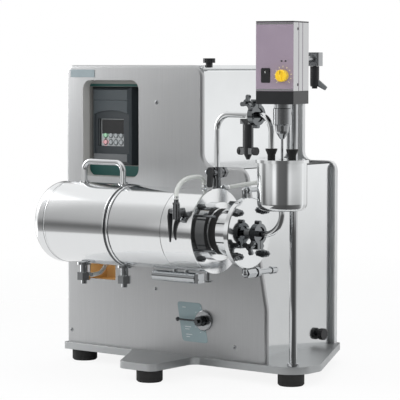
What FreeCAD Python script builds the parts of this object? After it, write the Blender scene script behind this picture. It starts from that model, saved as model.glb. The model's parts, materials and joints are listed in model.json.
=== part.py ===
import FreeCAD, Part
import math
import os

# Laboratory bead mill on a bench stand.
# Working frame: X runs right along the front panel, Y runs to the back and Z up.
# Its zero is the lower right corner of the front panel, on top of the base plate.
# At the end everything moves so that zero is under the middle of the whole machine.

V = FreeCAD.Vector
EX = V(1, 0, 0)
EY = V(0, 1, 0)
EZ = V(0, 0, 1)

# Sheet metal and fits
sheet = 2.5
running_gap = 0.05
part_gap = 0.3

# Base plate and feet
plate_thickness = 15.0
plate_left = -540.0
plate_front = -12.0
plate_back = 350.0
plate_right = 85.0
plate_back_right = -57.5
plate_corner = 48.0
leg_front = -148.0
leg_left = -262.0
leg_right = -176.0
leg_root = -344.0
foot_radius = 27.0
foot_height = 25.0
foot_stud_radius = 5.0
foot_stud_length = 10.0
foot_places = [(-510.0, 24.0), (-207.0, -118.0), (48.0, 20.0), (-105.0, 310.0), (-510.0, 310.0)]

# Front panel
panel_left = -539.5
panel_top = 602.0
panel_depth = 10.0
panel_edge = 6.0
upper_right = -165.6
shoulder_height = 395.0
shoulder_right = -52.6
slant_start = 111.0
shoulder_corner = 28.0
window_left = -491.0
window_right = -334.5
window_bottom = 364.0
window_top = 570.0
window_corner = 20.0
window_collar = 21.0
slot_left = -473.0
slot_right = -400.0
slot_bottom = 143.0
slot_top = 195.0
slot_corner = 4.0
tray_margin = 4.0
tray_sheet = 1.5
tray_depth = 60.0

# Cabinet behind the panel
cabinet_left = -532.0
cabinet_upper_right = -167.0
cabinet_lower_right = -70.0
cabinet_shelf = 392.0
cabinet_top = 593.0
cabinet_corner = 6.0
back_plate_front = 330.0
back_plate_face = 337.0
back_plate_back = 340.0
back_right = -59.5
back_upper_right = -146.0
back_shoulder = 396.0
back_top = 600.0
back_corner = 20.0
vent_count = 7
vent_pitch = 14.0
vent_width = 130.0
vent_height = 5.0
vent_first = 110.0
vent_middle = -320.0
lid_inset = 3.0
lid_thickness = 4.0
lid_rim_bottom = 595.0
lid_rim_top = 602.0
lid_knob_place = (-166.0, 26.0)
lid_knob_radius = 12.5
lid_knob_head = 9.5
lid_knob_stem_radius = 7.2
lid_knob_stem = 9.5
wall_knob_place = (286.0, 25.0)
wall_knob_radius = 12.5
wall_knob_head = 10.0
wall_knob_neck_radius = 5.0
wall_knob_neck = 5.0
grip_grooves = 12
grip_groove_radius = 1.2

# Frequency drive in the window
drive_left = -489.0
drive_right = -380.0
drive_bottom = 388.0
drive_top = 556.0
drive_front = 24.0
drive_back = 150.0
drive_bevel = 7.0
drive_seam_height = 527.0
bezel_margin = 5.0
bezel_depth = 15.0
face_left = -480.0
face_right = -384.0
face_bottom = 412.0
face_spring = 497.0
face_crown = 505.0
face_recess = 3.0
pocket_left = -472.0
pocket_right = -399.0
pocket_bottom = 428.0
pocket_top = 487.0
keypad_front = 32.0
keypad_thickness = 2.5
key_columns = 4
key_rows = 2
key_first_x = -454.0
key_first_z = 436.5
key_pitch_x = 14.6
key_pitch_z = 15.0
key_radius = 4.0
key_proud = 1.8
key_travel = 1.2
key_skirt = 1.0
display_left = -461.0
display_right = -400.5
display_bottom = 465.5
display_top = 484.0
display_depth = 1.0

# Round control on the panel
selector_x = -158.0
selector_z = 76.0
bezel_ring_radius = 21.0
bezel_ring_bore = 11.0
bezel_ring_depth = 6.0
selector_radius = 10.0
selector_length = 22.0
selector_tip_radius = 4.0
selector_tip = 6.0
pointer_radius = 2.0
pointer_reach = 60.0
pointer_ball = 4.5

# Barrel, turned about an axis along X
axis_y = -120.0
axis_z = 276.0
cover_radius = 84.0
cover_left = -455.0
cover_right = -257.0
cover_wall = 2.5
cover_round = 22.0
housing_radius = 82.0
housing_left = -247.0
housing_right = -146.0
housing_wall = 6.0
housing_web = 10.0
hub_radius = 48.0
bearing_outer = 36.0
bearing_inner = 15.0
bearing_width = 19.0
hub_bore = 22.0
roller_radius = 4.2
roller_pitch_radius = 25.25
roller_count = 10
roller_length = 13.0
gasket_proud = 0.5
gasket_width = 12.5
flange_wall = 5.0
flange_right = -31.0
flange_front_wall = 15.0
flange_rim_radius = 84.0
flange_rim_width = 4.0
band_left = -111.0
band_depth = 0.8
band_width = 1.6
step_radius = 57.5
step_length = 11.0
shaft_bore = 20.0
shaft_radius = 14.0
shaft_left = -432.0
stator_left = -425.0
stator_length = 110.0
stator_bore = 52.0
rotor_air_gap = 0.6
spigot_radius = 8.0
seal_length = 10.0
seal_boss_radius = 30.0

# Grinding chamber
chamber_radius = 47.5
chamber_right = 37.6
chamber_neck_radius = 44.5
chamber_neck_length = 20.0
jacket_wall = 2.5
jacket_gap = 5.0
liner_wall = 3.5
screen_wall = 1.5
screen_length = 16.0
screen_slots = 10
agitator_hub = 15.0
agitator_length = 34.0
agitator_right = 33.0
agitator_pin_radius = 2.6
agitator_pin_tip = 30.0
agitator_rows = 3
agitator_pins = 6
end_flange_radius = 69.5
end_flange_thickness = 11.0
end_bolt_circle = 60.0
disc_bolt_circle = 72.0
nut_across = 11.0
nut_height = 6.0
dome_radius = 5.2
stud_radius = 3.0
stud_proud = 9.0
pin_radius = 2.4
pin_length = 40.0
pin_circle = 67.0
pin_spread = 30.0

# Handle on the cover
bail_left = -380.0
bail_right = -275.0
bail_top = 403.0
bail_radius = 6.0
bail_bend = 18.0
bail_foot_radius = 10.0
bail_foot_height = 3.0

# Carrier between the panel and the barrel
bracket_left = -236.0
bracket_right = -160.0
bracket_half_height = 45.0
bracket_rib = 12.0
bracket_base = 8.0

# Process pipes, 12 mm outside
pipe_radius = 6.0
pipe_bore = 5.0
riser_x = -40.0
riser_y = -109.5
riser_foot_radius = 8.0
riser_seat_radius = 9.0
riser_valve_z = 391.0
valve_half_height = 11.0
valve_half_width = 11.0
return_z = 506.0
return_bend = 32.0
return_clamp_x = 62.0
drop_x = 100.5
inlet_clamp_x = 69.0
inlet_bend = 42.0
ferrule_radius = 17.0
ferrule_half = 3.2
clamp_outer = 20.5
clamp_inner = 14.0
clamp_half = 6.0
clamp_fit = 0.1
clamp_split = 1.5
clamp_bolt_offset = 24.0
clamp_bolt_radius = 3.0
clamp_nut_offset = 27.0
wing_radius = 16.0
wing_lobe = 4.5
wing_half = 4.0
wing_hub = 6.5

# Sampling valve hanging from the return pipe
sampling_x = 41.0
sleeve_radius = 8.5
sleeve_bottom = 430.0
sleeve_tip = 419.0
tie_offset = 12.0
tie_radius = 1.6
yoke_top = 498.0
yoke_height = 10.0
yoke_half_length = 14.5
cross_z = 435.5
cross_height = 12.0
cross_half_length = 15.0
spindle_radius = 3.0
round_knob_radius = 8.0
round_knob_length = 7.0

# Vessel
vessel_x = 126.0
vessel_radius = 48.0
vessel_wall = 1.5
vessel_bottom = 324.0
vessel_round = 14.0
vessel_rim_z = 416.0
vessel_rim_radius = 52.0
vessel_rim = 3.0
lid_plate = 3.0
bung_top = 442.0
bung_flange_radius = 11.5
bung_flange = 2.5
bung_neck_radius = 6.5
bung_base_radius = 7.5
shaft_hole = 7.0

# Stand rod, boss head and overhead stirrer
rod_x = 58.0
rod_y = 12.6
rod_radius = 8.0
rod_top = 672.0
rod_collar_radius = 12.0
rod_collar = 6.0
stirrer_turn = 13.5
stirrer_width = 77.0
stirrer_depth = 77.0
stirrer_bottom = 528.0
stirrer_base = 25.0
stirrer_top = 685.0
stirrer_cap = 2.5
arm_z = 614.0
arm_radius = 6.0
boss_top = 627.0
boss_bottom = 600.0
boss_half_depth = 13.0
boss_overhang = 20.0
boss_rod_margin = 14.0
grip_offset = 9.0
grip_radius = 9.0
grip_length = 40.0
grip_stem_radius = 3.5
lever_reach = 26.0
chuck_top_radius = 16.0
chuck_body_radius = 17.5
chuck_jaw_radius = 14.0
chuck_tip_radius = 4.2
chuck_collar_z = 519.0
chuck_ring_z = 489.0
chuck_bottom = 461.0
stirrer_shaft_radius = 2.5
stirrer_shaft_bottom = 338.0
impeller_radius = 20.0
impeller_hub = 5.0
switch_width = 17.0
switch_height = 26.0
switch_offset = -18.3
switch_z = 582.5
switch_tilt = 8.0
knob_offset = 17.2
knob_z = 582.0
speed_knob_radius = 11.5
speed_knob_length = 13.0

# Coolant fittings
port_xs = [-383.0, -272.0]
port_flange_radius = 14.5
port_flange_bottom = 188.0
port_stem_radius = 8.0
port_nut_top = 172.0
port_nut_height = 16.0
port_nut_across = 25.0
port_stub_radius = 6.0
port_stub_bottom = 148.0
feed_barb_z = 164.0
feed_barb_length = 6.0
hose_barb_radius = 5.0
manifold_left = -191.0
manifold_right = -82.0
manifold_radius = 11.0
manifold_z = 179.0
manifold_cap = 10.0
manifold_posts = [-138.0, -108.0]
drain_x = -54.0
drain_radius = 4.5
drain_bottom = 174.0
drain_flange_radius = 10.0
jacket_port_x = 43.0
jacket_port_y = -128.0
jacket_stub_radius = 5.0
upper_line_z = 360.0
lower_line_z = 197.0
lower_pipe_radius = 6.0
lower_pipe_length = 84.0
lower_socket_radius = 7.5
lower_socket_length = 15.0
lower_tip_radius = 4.0
lower_tip_length = 6.0

# Mini ball valve on the front of the barrel
mini_x = -63.0
mini_y = -209.0
mini_z = 318.0
mini_radius = 7.5
mini_half_height = 15.0
mini_lever_length = 60.0
mini_port_top = 342.0

# Hoses: outer radius and routes, straight out of each fitting
vent_port_y = -121.0
vent_port_rise = 2.0
vent_port_top = axis_z + housing_radius + vent_port_rise
flush_port_y = -88.0
flush_port_z = 360.0
elbow_radius = 6.0
elbow_reach = 8.0
upper_line_reach = 52.0
hose_radius = 4.3
tray_back_inside = tray_depth - tray_sheet
flush_start_y = flush_port_y + elbow_reach
flush_end_y = jacket_port_y + upper_line_reach
feed_start_y = axis_y + port_nut_across / 2 + feed_barb_length
vent_hose_route = [(mini_x, mini_y, mini_port_top), (mini_x, mini_y, 353.0), (mini_x, -203.0, 366.0),
                   (mini_x, -190.0, 376.5), (mini_x, -172.0, 382.0), (mini_x, -152.0, 383.0),
                   (mini_x, -134.2, 382.7), (mini_x, -125.8, 377.9), (mini_x, vent_port_y, 369.6),
                   (mini_x, vent_port_y, vent_port_top)]
flush_hose_route = [(riser_x, flush_start_y, flush_port_z), (riser_x, -56.0, flush_port_z),
                    (-26.0, -32.0, 365.0), (0.0, -19.0, 369.0), (27.0, -26.0, 367.0),
                    (jacket_port_x, -49.0, upper_line_z), (jacket_port_x, flush_end_y, upper_line_z)]
feed_hose_route = [(port_xs[0], feed_start_y, feed_barb_z), (port_xs[0], -74.0, feed_barb_z),
                   (-398.0, -44.0, 168.0), (-418.0, -12.0, 175.0), (-437.0, 24.0, 180.0),
                   (-437.0, tray_back_inside, 180.0)]

turn = math.radians(stirrer_turn)
stirrer_right = V(math.cos(turn), math.sin(turn), 0)
stirrer_front = V(math.sin(turn), -math.cos(turn), 0)
vessel_axis = V(vessel_x, axis_y, 0)


def on_floor(z):
    """Place a drawn point on the level plane at height z."""
    return lambda p: V(p.x, p.y, z)


def on_front(y):
    """Place a drawn point on the upright plane at depth y."""
    return lambda p: V(p.x, y, p.y)


def outline(corners, place):
    """Closed wire through (u, v, radius) corners, each rounded by its own arc."""
    spans = []
    for i, (u, v, radius) in enumerate(corners):
        here = V(u, v, 0)
        after = corners[(i + 1) % len(corners)]
        back = (V(corners[i - 1][0], corners[i - 1][1], 0) - here).normalize()
        ahead = (V(after[0], after[1], 0) - here).normalize()
        if radius == 0:
            spans.append((here, None, here))
            continue
        half = back.getAngle(ahead) / 2
        reach = radius / math.tan(half)
        middle = here + (back + ahead).normalize() * (radius / math.sin(half) - radius)
        spans.append((here + back * reach, middle, here + ahead * reach))
    edges = []
    for i, (start, middle, stop) in enumerate(spans):
        following = spans[(i + 1) % len(spans)][0]
        if middle is not None:
            edges.append(Part.Arc(place(start), place(middle), place(stop)).toShape())
        edges.append(Part.LineSegment(place(stop), place(following)).toShape())
    return Part.Wire(edges)


def rectangle(left, right, bottom, top, radius):
    """Corner list of a rectangle with equal corner radii."""
    return [(left, bottom, radius), (right, bottom, radius), (right, top, radius), (left, top, radius)]


def upright_slab(corners, front, back):
    """Slab with an outline seen from the front, from depth front to depth back."""
    return Part.Face(outline(corners, on_front(front))).extrude(V(0, back - front, 0))


def upright_inner(corners, front, back, wall):
    """The same slab, drawn in by a wall all round."""
    face = Part.Face(outline(corners, on_front(front)))
    return face.makeOffset2D(-wall).extrude(V(0, back - front, 0))


def block(x0, x1, y0, y1, z0, z1):
    """Rectangular block between two opposite corners."""
    return Part.makeBox(x1 - x0, y1 - y0, z1 - z0, V(x0, y0, z0))


def rod(start, direction, radius, length):
    """Round bar from a start point along a direction."""
    return Part.makeCylinder(radius, length, start, direction)


def ring(start, direction, outer, inner, length):
    """Round tube from a start point along a direction."""
    return rod(start, direction, outer, length).cut(rod(start, direction, inner, length))


def barrel_point(x, radius=0.0, degrees=0.0):
    """Point at a radius from the barrel's axis; the angle runs from the top towards the front."""
    angle = math.radians(degrees)
    return V(x, axis_y - radius * math.sin(angle), axis_z + radius * math.cos(angle))


def barrel_rod(left, right, radius):
    """Round bar on the barrel's axis."""
    return rod(barrel_point(left), EX, radius, right - left)


def barrel_ring(left, right, outer, inner):
    """Round tube on the barrel's axis."""
    return ring(barrel_point(left), EX, outer, inner, right - left)


def upright_turned(profile, centre):
    """Solid turned about an upright axis from (radius, z) points."""
    points = [V(centre.x + r, centre.y, z) for r, z in profile]
    face = Part.Face(Part.makePolygon(points + [points[0]]))
    return face.revolve(V(centre.x, centre.y, 0), EZ, 360)


def hexagon(start, direction, across, height):
    """Hexagonal bar from a start point along a direction."""
    side = EX if abs(direction.z) > 0.9 else direction.cross(EZ).normalize()
    other = direction.cross(side)
    corner = across / math.sqrt(3)
    points = []
    for i in range(7):
        angle = math.radians(60 * i)
        points.append(start + side * (corner * math.cos(angle)) + other * (corner * math.sin(angle)))
    return Part.Face(Part.makePolygon(points)).extrude(direction * height)


def dome_nut(start, direction):
    """Domed hexagon nut seated at a start point."""
    nut = hexagon(start, direction, nut_across, nut_height)
    dome = Part.makeCone(dome_radius, dome_radius * 0.45, dome_radius * 0.8,
                         start + direction * nut_height, direction)
    return nut.fuse(dome)


def bent_wire(points, radii):
    """Straight runs joined by tangent arcs."""
    edges = []
    here = points[0]
    for corner, before, after, radius in zip(points[1:-1], points, points[2:], radii):
        back = (before - corner).normalize()
        ahead = (after - corner).normalize()
        half = back.getAngle(ahead) / 2
        reach = radius / math.tan(half)
        start = corner + back * reach
        stop = corner + ahead * reach
        middle = corner + (back + ahead).normalize() * (radius / math.sin(half) - radius)
        edges.append(Part.LineSegment(here, start).toShape())
        edges.append(Part.Arc(start, middle, stop).toShape())
        here = stop
    edges.append(Part.LineSegment(here, points[-1]).toShape())
    return Part.Wire(edges)


def swept(wire, start, direction, radius):
    """Round section carried along a wire."""
    section = Part.Wire([Part.makeCircle(radius, start, direction)])
    return wire.makePipeShell([section], True, False)


def bent_tube(points, bend, radius, bore):
    """Round tube with equal bends."""
    wire = bent_wire(points, [bend] * (len(points) - 2))
    direction = (points[1] - points[0]).normalize()
    return swept(wire, points[0], direction, radius).cut(swept(wire, points[0], direction, bore))


def hose(name, route):
    """Free hose along its route, with each arc as large as its runs allow."""
    points = [V(*p) for p in route]
    radii = []
    for corner, before, after in zip(points[1:-1], points, points[2:]):
        back = before - corner
        ahead = after - corner
        swing = math.pi - back.getAngle(ahead)
        radii.append(0.45 * min(back.Length, ahead.Length) / math.tan(swing / 2))
    wire = bent_wire(points, radii)
    solid = swept(wire, points[0], (points[1] - points[0]).normalize(), hose_radius)
    expected = math.pi * hose_radius ** 2 * wire.Length
    print(name, "length", round(wire.Length, 1), "radii", [round(r, 1) for r in radii],
          "volume ratio", round(solid.Volume / expected, 4))
    return solid


def grooved(solid, centre, direction, radius, length):
    """Cut finger grooves along the outside of a round head."""
    side = EX if abs(direction.z) > 0.9 else EZ
    other = direction.cross(side)
    for i in range(grip_grooves):
        angle = 2 * math.pi * i / grip_grooves
        at = centre + side * (radius * math.cos(angle)) + other * (radius * math.sin(angle))
        solid = solid.cut(rod(at, direction, grip_groove_radius, length))
    return solid


def base_plate():
    """Plate with the front leg, the round corner under the rod and the slanted right end."""
    corners = [(plate_left, plate_front, 6), (leg_root, plate_front, 0), (leg_left, leg_front, 20),
               (leg_right, leg_front, 20), (leg_right, plate_front, 20),
               (plate_right, plate_front, plate_corner), (plate_right, 72, 25),
               (plate_back_right, plate_back, 8), (plate_left, plate_back, 8)]
    plate = Part.Face(outline(corners, on_floor(-plate_thickness))).extrude(V(0, 0, plate_thickness))
    for x, y in foot_places:
        plate = plate.cut(rod(V(x, y, -plate_thickness), EZ, foot_stud_radius, foot_stud_length))
    return plate


def rubber_feet():
    """Feet with a chamfered tread and a stud moulded into each."""
    feet = []
    low = -plate_thickness - foot_height
    for x, y in foot_places:
        profile = [(0, low), (foot_radius - 3, low), (foot_radius, low + 3), (foot_radius, -plate_thickness),
                   (foot_stud_radius, -plate_thickness),
                   (foot_stud_radius, -plate_thickness + foot_stud_length),
                   (0, -plate_thickness + foot_stud_length)]
        feet.append(upright_turned(profile, V(x, y, 0)))
    return Part.makeCompound(feet)


def front_panel():
    """Folded panel with rolled edges, a collared window and a slot."""
    corners = [(panel_left, 0, 0), (0, 0, 0), (0, slant_start, 60),
               (shoulder_right, shoulder_height, shoulder_corner),
               (upper_right, shoulder_height, shoulder_corner), (upper_right, panel_top, 25),
               (panel_left, panel_top, 20)]

    def rolled(solid, front, radius):
        rim = [e for e in solid.Edges
               if abs(e.BoundBox.YMax - front) < 1e-6 and e.BoundBox.ZMax > sheet + 1]
        return solid.makeFillet(radius, rim)

    outer = rolled(upright_slab(corners, 0, panel_depth), 0, panel_edge)
    inner = rolled(upright_inner(corners, sheet, panel_depth, sheet), sheet, panel_edge - sheet)
    panel = outer.cut(inner)
    hole = rectangle(window_left, window_right, window_bottom, window_top, window_corner)
    rim = rectangle(window_left - sheet, window_right + sheet, window_bottom - sheet, window_top + sheet,
                    window_corner + sheet)
    panel = panel.fuse(upright_slab(rim, sheet, window_collar))
    panel = panel.cut(upright_slab(hole, 0, window_collar))
    slot = rectangle(slot_left, slot_right, slot_bottom, slot_top, slot_corner)
    return panel.cut(upright_slab(slot, 0, sheet)).removeSplitter()


def slot_tray():
    """Open tray behind the slot, with a hole for the hose."""
    outer = block(slot_left - tray_margin, slot_right + tray_margin, sheet, tray_depth,
                  slot_bottom - tray_margin, slot_top + tray_margin)
    inner = block(slot_left - tray_margin + tray_sheet, slot_right + tray_margin - tray_sheet, sheet,
                  tray_depth - tray_sheet, slot_bottom - tray_margin + tray_sheet,
                  slot_top + tray_margin - tray_sheet)
    return outer.cut(inner)


def cabinet_body():
    """Welded cabinet: tall left part and lower right part, open to the front and the back."""
    corners = [(cabinet_left, 0, 0), (cabinet_lower_right, 0, 0),
               (cabinet_lower_right, cabinet_shelf, cabinet_corner), (cabinet_upper_right, cabinet_shelf, 0),
               (cabinet_upper_right, cabinet_top, cabinet_corner),
               (cabinet_left, cabinet_top, cabinet_corner)]
    outer = upright_slab(corners, panel_depth, back_plate_face)
    body = outer.cut(upright_inner(corners, panel_depth, back_plate_face, sheet))
    return body


def back_plate():
    """Rear cover with a forward lip and ventilation slots."""
    corners = [(cabinet_left - 5, 0, 0), (back_right, 0, 0), (back_right, back_shoulder, back_corner),
               (back_upper_right, back_shoulder, back_corner), (back_upper_right, back_top, back_corner),
               (cabinet_left - 5, back_top, back_corner)]
    outer = upright_slab(corners, back_plate_front, back_plate_back)
    plate = outer.cut(upright_inner(corners, back_plate_front, back_plate_face, sheet))
    plate = plate.cut(block(cabinet_left - 5 + sheet, back_right - sheet, back_plate_front, back_plate_face,
                            0, sheet))
    for i in range(vent_count):
        low = vent_first + i * vent_pitch
        slot = rectangle(vent_middle - vent_width / 2, vent_middle + vent_width / 2, low, low + vent_height,
                         vent_height * 0.49)
        plate = plate.cut(upright_slab(slot, back_plate_face, back_plate_back))
    return plate


def top_lid():
    """Lid with a raised rim and a notch round the knob."""
    left = cabinet_left
    right = cabinet_upper_right
    plate = block(left + lid_inset, right - lid_inset, panel_depth, back_plate_front,
                  cabinet_top, cabinet_top + lid_thickness)
    rim = block(left, right, panel_depth, back_plate_front, lid_rim_bottom, lid_rim_top)
    rim = rim.cut(block(left + lid_inset, right - lid_inset, panel_depth, back_plate_front - lid_inset,
                        lid_rim_bottom, lid_rim_top))
    lid = plate.fuse(rim)
    x, y = lid_knob_place
    return lid.cut(rod(V(x, y, cabinet_top + lid_thickness), EZ, lid_knob_stem_radius + 1.5, 20))


def lid_knob():
    """Grooved hand knob standing on the lid."""
    x, y = lid_knob_place
    seat = V(x, y, cabinet_top + lid_thickness)
    stem = rod(seat, EZ, lid_knob_stem_radius, lid_knob_stem)
    top = seat + EZ * lid_knob_stem
    return stem.fuse(grooved(rod(top, EZ, lid_knob_radius, lid_knob_head), top, EZ,
                             lid_knob_radius, lid_knob_head))


def wall_knob():
    """Grooved hand knob on the lower right wall."""
    y, z = wall_knob_place
    seat = V(cabinet_lower_right, y, z)
    neck = rod(seat, EX, wall_knob_neck_radius, wall_knob_neck)
    top = seat + EX * wall_knob_neck
    return neck.fuse(grooved(rod(top, EX, wall_knob_radius, wall_knob_head), top, EX,
                             wall_knob_radius, wall_knob_head))


def selector_bezel():
    """Round chromed bezel with a chamfered rim."""
    at = V(selector_x, 0, selector_z)
    body = rod(at, -EY, bezel_ring_radius, bezel_ring_depth)
    rim = [e for e in body.Edges if abs(e.BoundBox.YMax + bezel_ring_depth) < 1e-6]
    body = body.makeChamfer(1.5, rim)
    return body.cut(rod(at, -EY, bezel_ring_bore, bezel_ring_depth))


def selector_knob():
    """Round control with a tip and a thin pointer that ends in a ball."""
    at = V(selector_x, -part_gap, selector_z)
    knob = grooved(rod(at, -EY, selector_radius, selector_length), at, -EY, selector_radius, selector_length)
    knob = knob.fuse(rod(at - EY * selector_length, -EY, selector_tip_radius, selector_tip))
    root = at - EY * (selector_length * 0.6)
    knob = knob.fuse(rod(root, -EX, pointer_radius, pointer_reach))
    return knob.fuse(Part.makeSphere(pointer_ball, root - EX * pointer_reach, EX))


def drive_bezel():
    """Deep frame behind the window collar that holds the drive above and below."""
    outer = block(window_left - bezel_margin, window_right + bezel_margin, window_collar,
                  window_collar + bezel_depth, window_bottom - bezel_margin, window_top + bezel_margin)
    return outer.cut(block(window_left + part_gap, window_right, window_collar, window_collar + bezel_depth,
                           drive_bottom, drive_top))


def drive_housing():
    """Bevelled housing with an arched face recess and the pocket for the keypad."""
    body = block(drive_left, drive_right, drive_front, drive_back, drive_bottom, drive_top)
    front = [e for e in body.Edges if abs(e.BoundBox.YMax - drive_front) < 1e-6]
    body = body.makeChamfer(drive_bevel, front)
    middle = (face_left + face_right) / 2
    a = V(face_left, drive_front, face_bottom)
    b = V(face_right, drive_front, face_bottom)
    c = V(face_right, drive_front, face_spring)
    d = V(face_left, drive_front, face_spring)
    arch = Part.Arc(c, V(middle, drive_front, face_crown), d).toShape()
    wire = Part.Wire([Part.makeLine(a, b), Part.makeLine(b, c), arch, Part.makeLine(d, a)])
    body = body.cut(Part.Face(wire).extrude(EY * face_recess))
    seat = keypad_front + keypad_thickness
    body = body.cut(block(pocket_left, pocket_right, drive_front, seat, pocket_bottom, pocket_top))
    margin = key_radius + 2
    body = body.cut(block(key_first_x - margin, key_first_x + (key_columns - 1) * key_pitch_x + margin, seat,
                          seat + key_skirt + key_travel + part_gap, key_first_z - margin,
                          key_first_z + (key_rows - 1) * key_pitch_z + margin))
    return body.cut(block(drive_left, drive_right, drive_front, drive_front + 1, drive_seam_height - 0.5,
                          drive_seam_height + 0.5))


def key_centre(column, row):
    """Centre of one key on the keypad's front face."""
    return V(key_first_x + column * key_pitch_x, keypad_front, key_first_z + row * key_pitch_z)


def keypad_plate():
    """Operator panel with a hole for each key and a sunk display."""
    plate = block(pocket_left + 0.2, pocket_right - 0.2, keypad_front, keypad_front + keypad_thickness,
                  pocket_bottom + 0.2, pocket_top - 0.2)
    for column in range(key_columns):
        for row in range(key_rows):
            plate = plate.cut(rod(key_centre(column, row), EY, key_radius + part_gap, keypad_thickness))
    return plate.cut(block(display_left, display_right, keypad_front, keypad_front + display_depth,
                           display_bottom, display_top))


def key(column, row):
    """Round key with a skirt that holds it behind the plate."""
    at = key_centre(column, row)
    stem = rod(at - EY * key_proud, EY, key_radius, key_proud + keypad_thickness)
    return stem.fuse(rod(at + EY * keypad_thickness, EY, key_radius + 1, key_skirt))


def motor_cover():
    """Deep drawn cover, open towards the bearing housing."""
    outer = barrel_rod(cover_left, cover_right, cover_radius)
    inner = barrel_rod(cover_left + cover_wall, cover_right, cover_radius - cover_wall)
    closed_end = [e for e in outer.Edges if abs(e.BoundBox.XMax - cover_left) < 1e-6]
    outer = outer.makeFillet(cover_round, closed_end)
    closed_end = [e for e in inner.Edges if abs(e.BoundBox.XMax - cover_left - cover_wall) < 1e-6]
    inner = inner.makeFillet(cover_round - cover_wall, closed_end)
    return outer.cut(inner)


def motor_stator():
    """Laminated stator pressed into the cover."""
    return barrel_ring(stator_left, stator_left + stator_length, cover_radius - cover_wall, stator_bore)


def rotor_shaft():
    """Stepped shaft with the motor's rotor core."""
    shaft = barrel_rod(shaft_left, housing_right, bearing_inner)
    shaft = shaft.fuse(barrel_rod(housing_right, agitator_right - agitator_length, shaft_radius))
    shaft = shaft.fuse(barrel_rod(flange_right, agitator_right, spigot_radius))
    core = barrel_rod(stator_left, stator_left + stator_length, stator_bore - rotor_air_gap)
    return shaft.fuse(core)


def bearing_places():
    """Left ends of the two bearings."""
    return [housing_left + housing_web, housing_right - housing_web - bearing_width]


def bearing_rings(left):
    """Rollers and inner ring of one bearing."""
    solids = [barrel_ring(left, left + bearing_width, roller_pitch_radius - roller_radius - running_gap,
                          bearing_inner)]
    for i in range(roller_count):
        at = barrel_point(left + (bearing_width - roller_length) / 2, roller_pitch_radius,
                          360.0 * i / roller_count)
        solids.append(rod(at, EX, roller_radius, roller_length))
    return solids


def shaft_bearings():
    """Inner rings and rollers of both bearings."""
    solids = []
    for left in bearing_places():
        solids.extend(bearing_rings(left))
    return Part.makeCompound(solids)


def bearing_housing():
    """Outer tube, two webs and a hub, with the outer bearing rings in their seats."""
    body = barrel_ring(housing_left, housing_right, housing_radius, housing_radius - housing_wall)
    body = body.fuse(barrel_rod(housing_left, housing_left + housing_web, housing_radius - 1))
    body = body.fuse(barrel_rod(housing_right - housing_web, housing_right, housing_radius - 1))
    body = body.fuse(barrel_rod(housing_left, housing_right, hub_radius))
    body = body.cut(barrel_rod(housing_left, housing_right, hub_bore))
    body = body.cut(barrel_rod(housing_left + housing_web, housing_right - housing_web, bearing_outer))
    solids = [body]
    for left in bearing_places():
        solids.append(barrel_ring(left, left + bearing_width, bearing_outer,
                                  roller_pitch_radius + roller_radius + running_gap))
    return Part.makeCompound(solids)


def shaft_seals():
    """Clamp gasket of the cover and the standing ring of the shaft seal."""
    gasket = barrel_ring(cover_right, housing_left, housing_radius + gasket_proud,
                         housing_radius + gasket_proud - gasket_width)
    right = flange_right - flange_front_wall
    seal = barrel_ring(right - seal_length, right, shaft_bore, shaft_radius + running_gap)
    return Part.makeCompound([gasket, seal])


def seal_flange():
    """Front housing with a bright rim, the step that carries the chamber and the outlet channel."""
    left = housing_right
    wall_left = flange_right - flange_front_wall
    body = barrel_ring(left, wall_left, housing_radius, housing_radius - flange_wall)
    body = body.fuse(barrel_rod(wall_left, flange_right, housing_radius))
    body = body.fuse(barrel_rod(flange_right - flange_rim_width, flange_right, flange_rim_radius))
    body = body.fuse(barrel_rod(flange_right, flange_right + step_length, step_radius))
    body = body.fuse(barrel_rod(wall_left - seal_length, wall_left, seal_boss_radius))
    body = body.cut(barrel_rod(wall_left - seal_length, flange_right + step_length, shaft_bore))
    groove = barrel_ring(band_left, band_left + band_width, housing_radius + 1, housing_radius - band_depth)
    body = body.cut(groove)
    channel = rod(V(riser_x, riser_y, axis_z), EZ, pipe_bore - 1, housing_radius)
    return body.cut(channel)


def grinding_chamber():
    """Double-walled chamber: outer jacket, water gap and hard inner liner."""
    left = flange_right + step_length
    neck = left + chamber_neck_length
    outer = barrel_rod(left, neck, chamber_neck_radius).fuse(barrel_rod(neck, chamber_right, chamber_radius))
    water = barrel_rod(left + liner_wall, chamber_right - liner_wall, chamber_neck_radius - jacket_wall)
    liner_outer = chamber_neck_radius - jacket_wall - jacket_gap
    body = outer.cut(water)
    body = body.fuse(barrel_rod(left, chamber_right, liner_outer))
    return body.cut(barrel_rod(left, chamber_right, liner_outer - liner_wall))


def separation_screen():
    """Slotted sleeve that holds the beads back from the outlet."""
    left = flange_right + step_length - 6
    body = barrel_ring(left, left + screen_length, shaft_bore, shaft_bore - screen_wall)
    start = left + 7.5
    for i in range(screen_slots):
        at = barrel_point(start, shaft_bore - 3, 360.0 * i / screen_slots)
        direction = (barrel_point(start, 1, 360.0 * i / screen_slots) - barrel_point(start)).normalize()
        slot = rod(at, direction, 0.8, 4)
        body = body.cut(slot.fuse(rod(at + EX * 5, direction, 0.8, 4)))
    return body


def agitator():
    """Hub with rows of pins, fixed on the end of the shaft."""
    left = agitator_right - agitator_length
    body = barrel_ring(left, agitator_right, agitator_hub, spigot_radius)
    pitch = agitator_length / agitator_rows
    for row in range(agitator_rows):
        for i in range(agitator_pins):
            degrees = 360.0 * (i + 0.5 * row) / agitator_pins
            at = barrel_point(left + pitch * (row + 0.5), agitator_hub - 2, degrees)
            tip = barrel_point(left + pitch * (row + 0.5), agitator_pin_tip, degrees)
            body = body.fuse(rod(at, (tip - at).normalize(), agitator_pin_radius, (tip - at).Length))
    return body


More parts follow.
